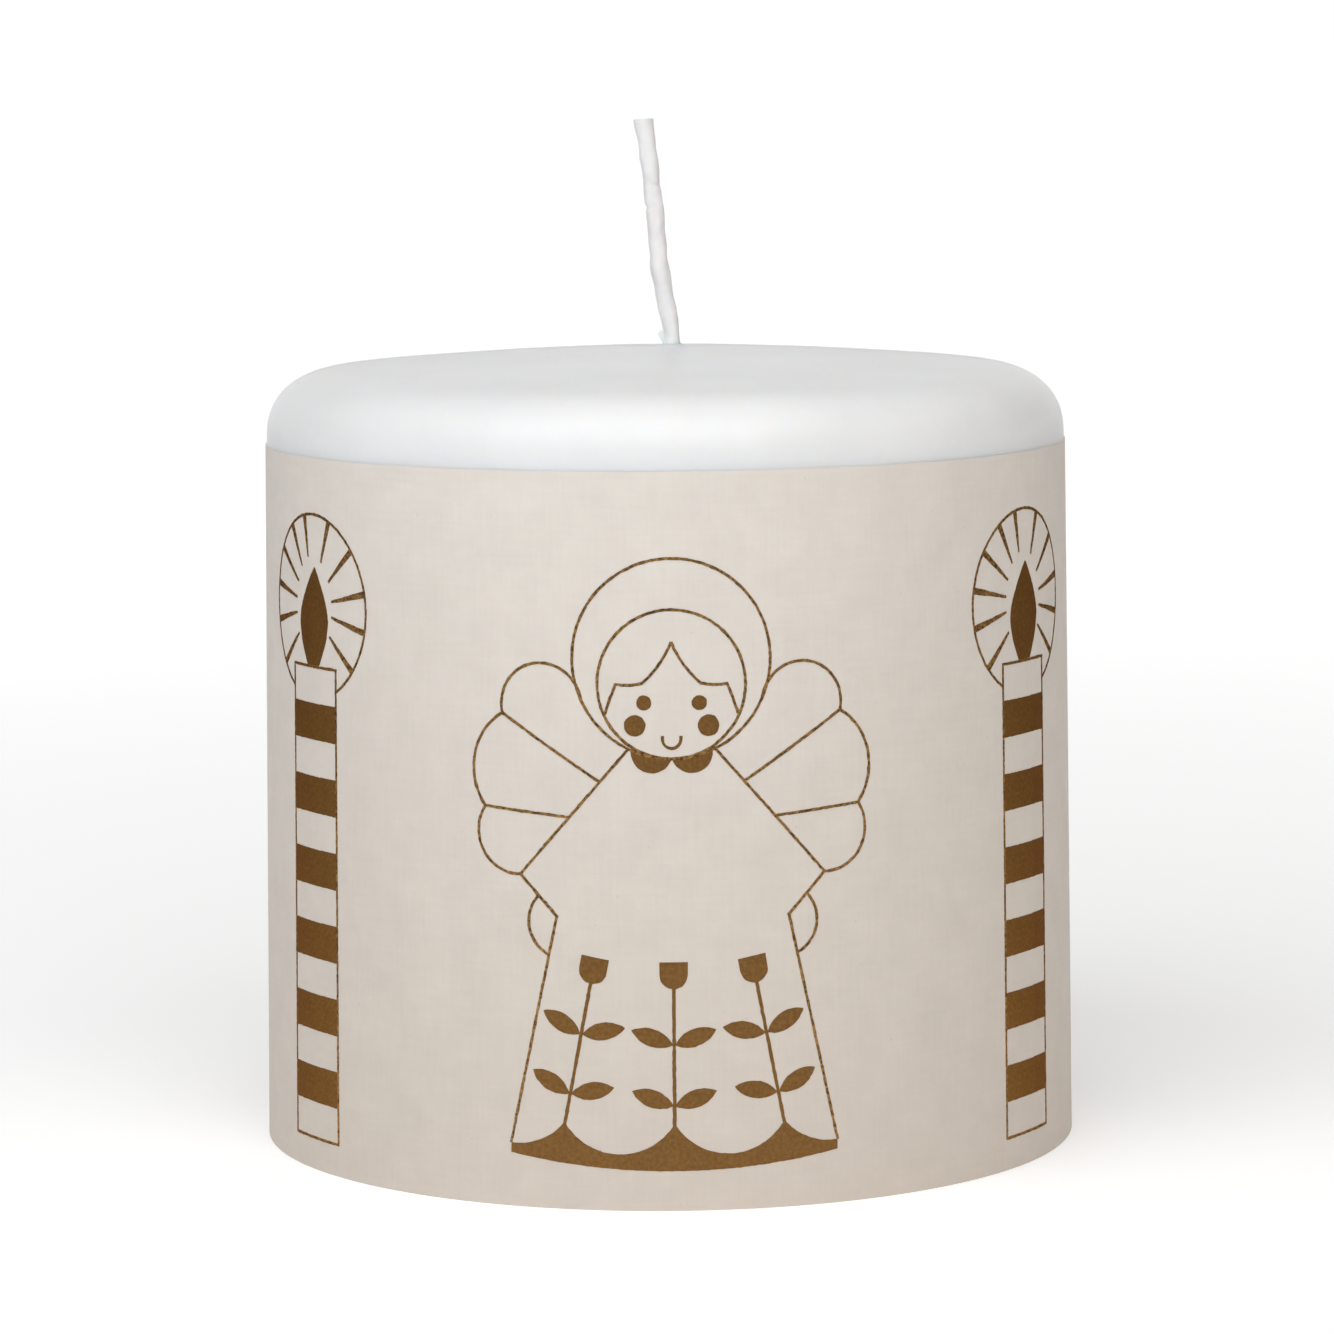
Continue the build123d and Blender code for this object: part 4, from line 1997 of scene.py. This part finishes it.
def kept(graph: Graph, geometry: bpy.types.NodeSocket, values: dict) -> bpy.types.Node:
    """Keep values of a curve's points for later.

    Args:
        graph: the tree.
        geometry: the curve.
        values: source socket of each value, by name.

    Returns:
        The node, whose outputs are the geometry and the named values.
    """
    node = graph.add("GeometryNodeCaptureAttribute", domain="POINT")
    for name in values:
        node.capture_items.new("FLOAT", name)
    graph.fill(node, {"Geometry": geometry, **values})
    return node


def braid_crease(
    graph: Graph,
    start: bpy.types.NodeOutputs,
    turn: bpy.types.NodeSocket,
    length: bpy.types.NodeSocket,
) -> bpy.types.NodeSocket:
    """Depth of the creases between strands that wind both ways round.

    Args:
        graph: the wick's tree.
        start: the tree's inputs.
        turn: place round the wick, 0 to 1.
        length: distance along it.

    Returns:
        The depth's socket, zero or less.
    """
    full = 2.0 * math.pi
    turn = graph.maths("MULTIPLY", turn, start["Strands"])
    turn = graph.maths("MULTIPLY", turn, full)
    along = graph.maths("DIVIDE", length, start["Braid Pitch"])
    along = graph.maths("MULTIPLY", along, full)
    one_way = graph.maths("SINE", graph.maths("ADD", turn, along))
    other_way = graph.maths("SINE", graph.maths("SUBTRACT", turn, along))
    crease = graph.maths("SUBTRACT", graph.maths("MAXIMUM", one_way, other_way), 1.0)
    return graph.maths("MULTIPLY", crease, start["Crease Depth"])


def wax_lumps(
    graph: Graph, start: bpy.types.NodeOutputs, position: bpy.types.NodeSocket
) -> bpy.types.NodeSocket:
    """Lumps of the coat of wax, longer than they are wide.

    Args:
        graph: the wick's tree.
        start: the tree's inputs.
        position: the point's place.

    Returns:
        The socket of their height, in or out.
    """
    stretch = {0: position, 1: (620.0, 620.0, 380.0)}
    place = graph.add("ShaderNodeVectorMath", stretch, operation="MULTIPLY").outputs[0]
    inputs = {"Vector": place, "W": start["Seed"], "Scale": 1.0, "Detail": 1.0}
    lump = graph.add("ShaderNodeTexNoise", inputs, noise_dimensions="4D").outputs[0]
    return graph.maths("MULTIPLY", graph.maths("SUBTRACT", lump, 0.52), start["Lump Depth"])


def wick_tree(dents: Iterable[Dent]) -> bpy.types.NodeTree:
    """Tree that turns a path into a waxed braid: round, creased and a little lumpy.

    Args:
        dents: the hollows and swellings of this wick.

    Returns:
        The geometry tree.
    """
    floats = ("Radius", "Step", "Braid Pitch", "Crease Depth", "Lump Depth", "Bare Length", "Flare")
    inputs = [(label, "NodeSocketFloat", 0.0) for label in floats]
    inputs += [("Sides", "NodeSocketInt", 40), ("Strands", "NodeSocketInt", 3)]
    inputs += [("Seed", "NodeSocketInt", 0), ("Finish", "NodeSocketMaterial", None)]
    tree = new_tree("waxed_braid", inputs)
    graph = Graph(tree)
    start = graph.add("NodeGroupInput").outputs
    spacing = {"Curve": start["Geometry"], "Length": start["Step"]}
    path = graph.add("GeometryNodeResampleCurve", spacing, mode="LENGTH").outputs[0]
    spline = graph.add("GeometryNodeSplineParameter").outputs
    along = kept(graph, path, {"Length": spline["Length"], "Share": spline["Factor"]}).outputs
    size = {"Resolution": start["Sides"], "Radius": start["Radius"]}
    profile = graph.add("GeometryNodeCurvePrimitiveCircle", size).outputs[0]
    around = kept(graph, profile, {"Turn": spline["Factor"]}).outputs
    sweep = {"Curve": along["Geometry"], "Profile Curve": around["Geometry"], "Fill Caps": True}
    tube = graph.add("GeometryNodeCurveToMesh", sweep).outputs[0]
    position = graph.add("GeometryNodeInputPosition").outputs[0]
    normal = graph.add("GeometryNodeInputNormal").outputs[0]
    crease = braid_crease(graph, start, around["Turn"], along["Length"])
    lumps = wax_lumps(graph, start, position)
    bare = graph.maths("GREATER_THAN", along["Length"], start["Bare Length"])
    offset = graph.maths("MULTIPLY", graph.maths("ADD", crease, lumps), bare)
    tip = graph.add("ShaderNodeMapRange", {"Value": along["Share"], "From Min": 0.965}).outputs[0]
    flare = graph.maths("MULTIPLY", graph.maths("POWER", tip, 2.0), start["Flare"])
    offset = graph.maths("ADD", offset, flare)
    height = graph.add("ShaderNodeSeparateXYZ", {"Vector": position}).outputs["Z"]
    for dent in dents:
        offset = graph.maths("ADD", offset, dent.push(graph, height, normal))
    reach = {0: normal, "Scale": offset}
    push = graph.add("ShaderNodeVectorMath", reach, operation="SCALE").outputs[0]
    moved = graph.add("GeometryNodeSetPosition", {"Geometry": tube, "Offset": push})
    smooth = graph.add("GeometryNodeSetShadeSmooth", {"Geometry": moved.outputs[0]})
    real = graph.add("GeometryNodeRealizeInstances", {"Geometry": smooth.outputs[0]})
    dress = {"Geometry": real.outputs[0], "Material": start["Finish"]}
    dressed = graph.add("GeometryNodeSetMaterial", dress)
    graph.add("NodeGroupOutput", {"Geometry": dressed.outputs[0]})
    return tree


@dataclass
class Wick:
    """The waxed wick, from the tab up through the wax to its cut tip.

    It narrows at the foot, swells where it first bends, and has one short crease.

    Attributes:
        form: the shared sizes.
        finish: the waxed cotton.
        bends: sideways place and height above the wax of the bare wick's bends.
        flake: corners of the flake of wax at its foot, from its left side.
    """

    form: PillarForm
    finish: WickFinish = field(default_factory=WickFinish)
    bends: tuple[Point, ...] = (
        (0.75, 0.6),
        (0.56, 2.6),
        (0.06, 5.0),
        (-0.40, 7.7),
        (-0.64, 11.2),
        (-1.02, 15.0),
        (-1.50, 19.2),
        (-1.83, 22.25),
    )
    flake: tuple[Point, ...] = (
        (0.10, 0.55),
        (-0.25, 0.45),
        (-0.72, 1.32),
        (-0.38, 1.75),
        (0.10, 1.30),
    )

    def dents(self) -> list[Dent]:
        """The wick's own hollows and swellings.

        Returns:
            The dents, upwards.
        """
        left, right = (-1.0, -0.2, 0.0), (0.75, -0.65, 0.0)
        rises = (
            (1.6, 1.3, 0.07, None),
            (7.4, 1.1, -0.13, None),
            (13.7, 0.22, 0.16, left),
            (15.9, 0.20, 0.11, right),
            (20.0, 0.8, 0.05, left),
            (22.4, 1.5, -0.15, left),
        )
        return [
            Dent(self.form.crown + z * MM, reach * MM, depth * MM, way)
            for z, reach, depth, way in rises
        ]

    def with_flake(self, mesh: bpy.types.Mesh) -> bpy.types.Mesh:
        """Add the small flake of wax that stands off the wick's foot.

        Args:
            mesh: the wick.

        Returns:
            The same mesh with the flake.
        """
        side = self.form.wick_x - 0.80 * self.form.wick_radius
        base = self.form.crown
        work = bmesh.new()
        work.from_mesh(mesh)
        front, back = (
            [work.verts.new((side + x * MM, y * MM, base + z * MM)) for x, z in self.flake]
            for y in (-0.16, 0.10)
        )
        faces = [work.faces.new(front), work.faces.new(back[::-1])]
        for n in range(len(front)):
            after = (n + 1) % len(front)
            faces.append(work.faces.new((front[n], back[n], back[after], front[after])))
        bmesh.ops.recalc_face_normals(work, faces=faces)
        work.to_mesh(mesh)
        work.free()
        return mesh

    def path(self, foot: float) -> bpy.types.Curve:
        """The wick's middle line: upright in the wax, then bend by bend.

        Args:
            foot: height of its lower end.

        Returns:
            The curve.
        """
        form = self.form
        points = [(form.wick_x, foot), (form.wick_x, 0.5 * form.crown)]
        points.append((form.wick_x, form.crown - 3.0 * MM))
        points += [(x * MM, form.crown + rise * MM) for x, rise in self.bends]
        line = bpy.data.curves.new("wick_line", "CURVE")
        line.dimensions = "3D"
        line.resolution_u = 24
        spline = line.splines.new("NURBS")
        spline.points.add(len(points) - 1)
        for point, (x, z) in zip(spline.points, points):
            point.co = (x, 0.0, z, 1.0)
        spline.order_u = 3
        spline.use_endpoint_u = True
        return line

    def build(self) -> bpy.types.Object:
        """Make the wick.

        Returns:
            The piece.
        """
        form = self.form
        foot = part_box("wick")[0].z
        carrier = bpy.data.objects.new("wick_carrier", self.path(foot))
        bpy.context.scene.collection.objects.link(carrier)
        values = {
            "Radius": form.wick_radius * 0.985,
            "Step": 0.16 * MM,
            "Braid Pitch": 5.2 * MM,
            "Crease Depth": 0.035 * MM,
            "Lump Depth": 0.42 * MM,
            "Bare Length": form.crown - foot,
            "Flare": 0.10 * MM,
            "Sides": 40,
            "Strands": 3,
            "Seed": 7,
            "Finish": self.finish.material(),
        }
        add_tree(carrier, wick_tree(self.dents()), values)
        mesh = sharpen(self.with_flake(baked_mesh(carrier, "waxed_wick")), 50.0)
        return piece_from(mesh, "waxed_wick", self.finish, ["wick"])


# ---------------------------------------------------------------- studio


@dataclass
class Studio:
    """Floor, lights and camera.

    Attributes:
        distance: from the pillar's axis to the camera.
        height: of the camera above the base.
        pitch: how far the camera looks down, in degrees.
        azimuth: how far the camera stands to the right of the front, in degrees.
        roll: how far the camera is turned about its own axis, in degrees.
        lens: focal length, in millimetres.
        room: brightness of the room above the white horizon.
        band: brightness of the horizon beside and before the candle.
    """

    distance: float = 509.6 * MM
    height: float = 107.7 * MM
    pitch: float = 6.93
    azimuth: float = -0.55
    roll: float = -0.45
    lens: float = 140.03
    room: float = 0.13
    band: float = 1.0

    FLOOR_REACH = 60.0
    MIDDLE = 40.0 * MM

    def build(self) -> None:
        """Set everything up."""
        self.add_camera()
        self.add_floor()
        self.add_room()
        self.add_softboxes()

    def add_camera(self) -> None:
        """The camera, a little above the candle and level with its front."""
        data = bpy.data.cameras.new("view")
        data.lens = self.lens
        data.sensor_width = 36.0
        data.clip_start = 0.01
        camera = bpy.data.objects.new("view", data)
        turn = math.radians(self.azimuth)
        place = Vector((math.sin(turn), -math.cos(turn), 0.0)) * self.distance
        place.z = self.height
        aim = (
            Matrix.Rotation(turn, 4, "Z")
            @ Matrix.Rotation(math.radians(90.0 - self.pitch), 4, "X")
            @ Matrix.Rotation(math.radians(self.roll), 4, "Z")
        )
        camera.matrix_world = Matrix.Translation(place) @ aim
        bpy.context.scene.collection.objects.link(camera)
        bpy.context.scene.camera = camera

    def add_floor(self) -> None:
        """A wide pale floor."""
        mesh = bpy.data.meshes.new("floor")
        reach = self.FLOOR_REACH
        corners = [(-reach, -reach, 0), (reach, -reach, 0), (reach, reach, 0), (-reach, reach, 0)]
        mesh.from_pydata(corners, [], [(0, 1, 2, 3)])
        mesh.materials.append(FloorFinish().material())
        floor = bpy.data.objects.new("floor", mesh)
        bpy.context.scene.collection.objects.link(floor)

    def add_room(self) -> None:
        """A dim room with a white horizon, brightest behind the candle."""
        world = bpy.data.worlds.new("room")
        world.use_nodes = True
        graph = Graph(world.node_tree)
        way = graph.add("ShaderNodeTexCoord").outputs["Generated"]
        axes = graph.add("ShaderNodeSeparateXYZ", {"Vector": way}).outputs
        white, black = (1.0, 1.0, 1.0), (0.0, 0.0, 0.0)
        horizon = graph.ramp(axes["Z"], [(0.03, white), (0.11, black)])
        low = graph.ramp(axes["Z"], [(0.30, white), (0.60, black)])
        behind = graph.ramp(axes["Y"], [(0.74, black), (0.93, white)])
        rear = graph.maths("MULTIPLY", graph.maths("MAXIMUM", horizon, low), behind)
        round_room = graph.maths("MULTIPLY", horizon, self.band)
        sweep = graph.maths("MAXIMUM", rear, round_room)
        level = graph.maths("MULTIPLY_ADD", sweep, 1.0 - self.room, self.room)
        ground = world.node_tree.nodes["Background"]
        ground.inputs["Color"].default_value = (1.0, 1.0, 1.0, 1.0)
        graph.feed(ground.inputs["Strength"], level)
        bpy.context.scene.world = world
        bpy.context.scene.view_settings.view_transform = "Standard"

    def add_softboxes(self) -> None:
        """A broad key from the front left, a top light and a warm fill from the right."""
        self.add_softbox("key", (-0.09, -0.36, 0.46), (0.80, 0.5), 2.92, (0.985, 0.995, 1.0))
        self.add_softbox("top", (0.0, -0.05, 0.90), (0.7, 0.7), 1.28, (1.0, 1.0, 1.0))
        self.add_softbox("fill", (0.60, -0.25, 0.25), (0.4, 0.4), 0.24, (1.0, 0.70, 0.40))

    def add_softbox(
        self, name: str, place: tuple, size: Point, power: float, colour: Colour
    ) -> None:
        """One soft light aimed at the middle of the candle.

        Args:
            name: the light's name.
            place: where it stands, in metres.
            size: its width and height.
            power: in watts.
            colour: its colour.
        """
        data = bpy.data.lights.new(name, "AREA")
        data.shape = "RECTANGLE"
        data.size, data.size_y = size
        data.energy = power
        data.color = colour
        light = bpy.data.objects.new(name, data)
        light.location = place
        look = Vector((0.0, 0.0, self.MIDDLE)) - Vector(place)
        light.rotation_euler = look.to_track_quat("-Z", "Y").to_euler()
        bpy.context.scene.collection.objects.link(light)


def main() -> None:
    """Build every sub-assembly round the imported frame."""
    logging.basicConfig(level=logging.INFO, format="%(name)s: %(message)s")
    form = PillarForm.from_frame()
    LOG.info("foot radius %.3f mm, film %.3f mm", form.foot_radius / MM, form.film_thickness / MM)
    WaxPillar(form).build()
    WickTab(form).build()
    PrintedFilm(form).build()
    Print(form).build()
    Wick(form).build()
    Studio().build()


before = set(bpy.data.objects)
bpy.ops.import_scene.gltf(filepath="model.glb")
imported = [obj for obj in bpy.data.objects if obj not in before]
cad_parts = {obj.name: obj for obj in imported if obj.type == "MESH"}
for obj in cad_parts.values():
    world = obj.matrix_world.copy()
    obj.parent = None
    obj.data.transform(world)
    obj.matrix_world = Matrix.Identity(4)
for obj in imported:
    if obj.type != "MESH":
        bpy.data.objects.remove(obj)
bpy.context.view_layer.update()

if __name__ == "__main__":
    main()
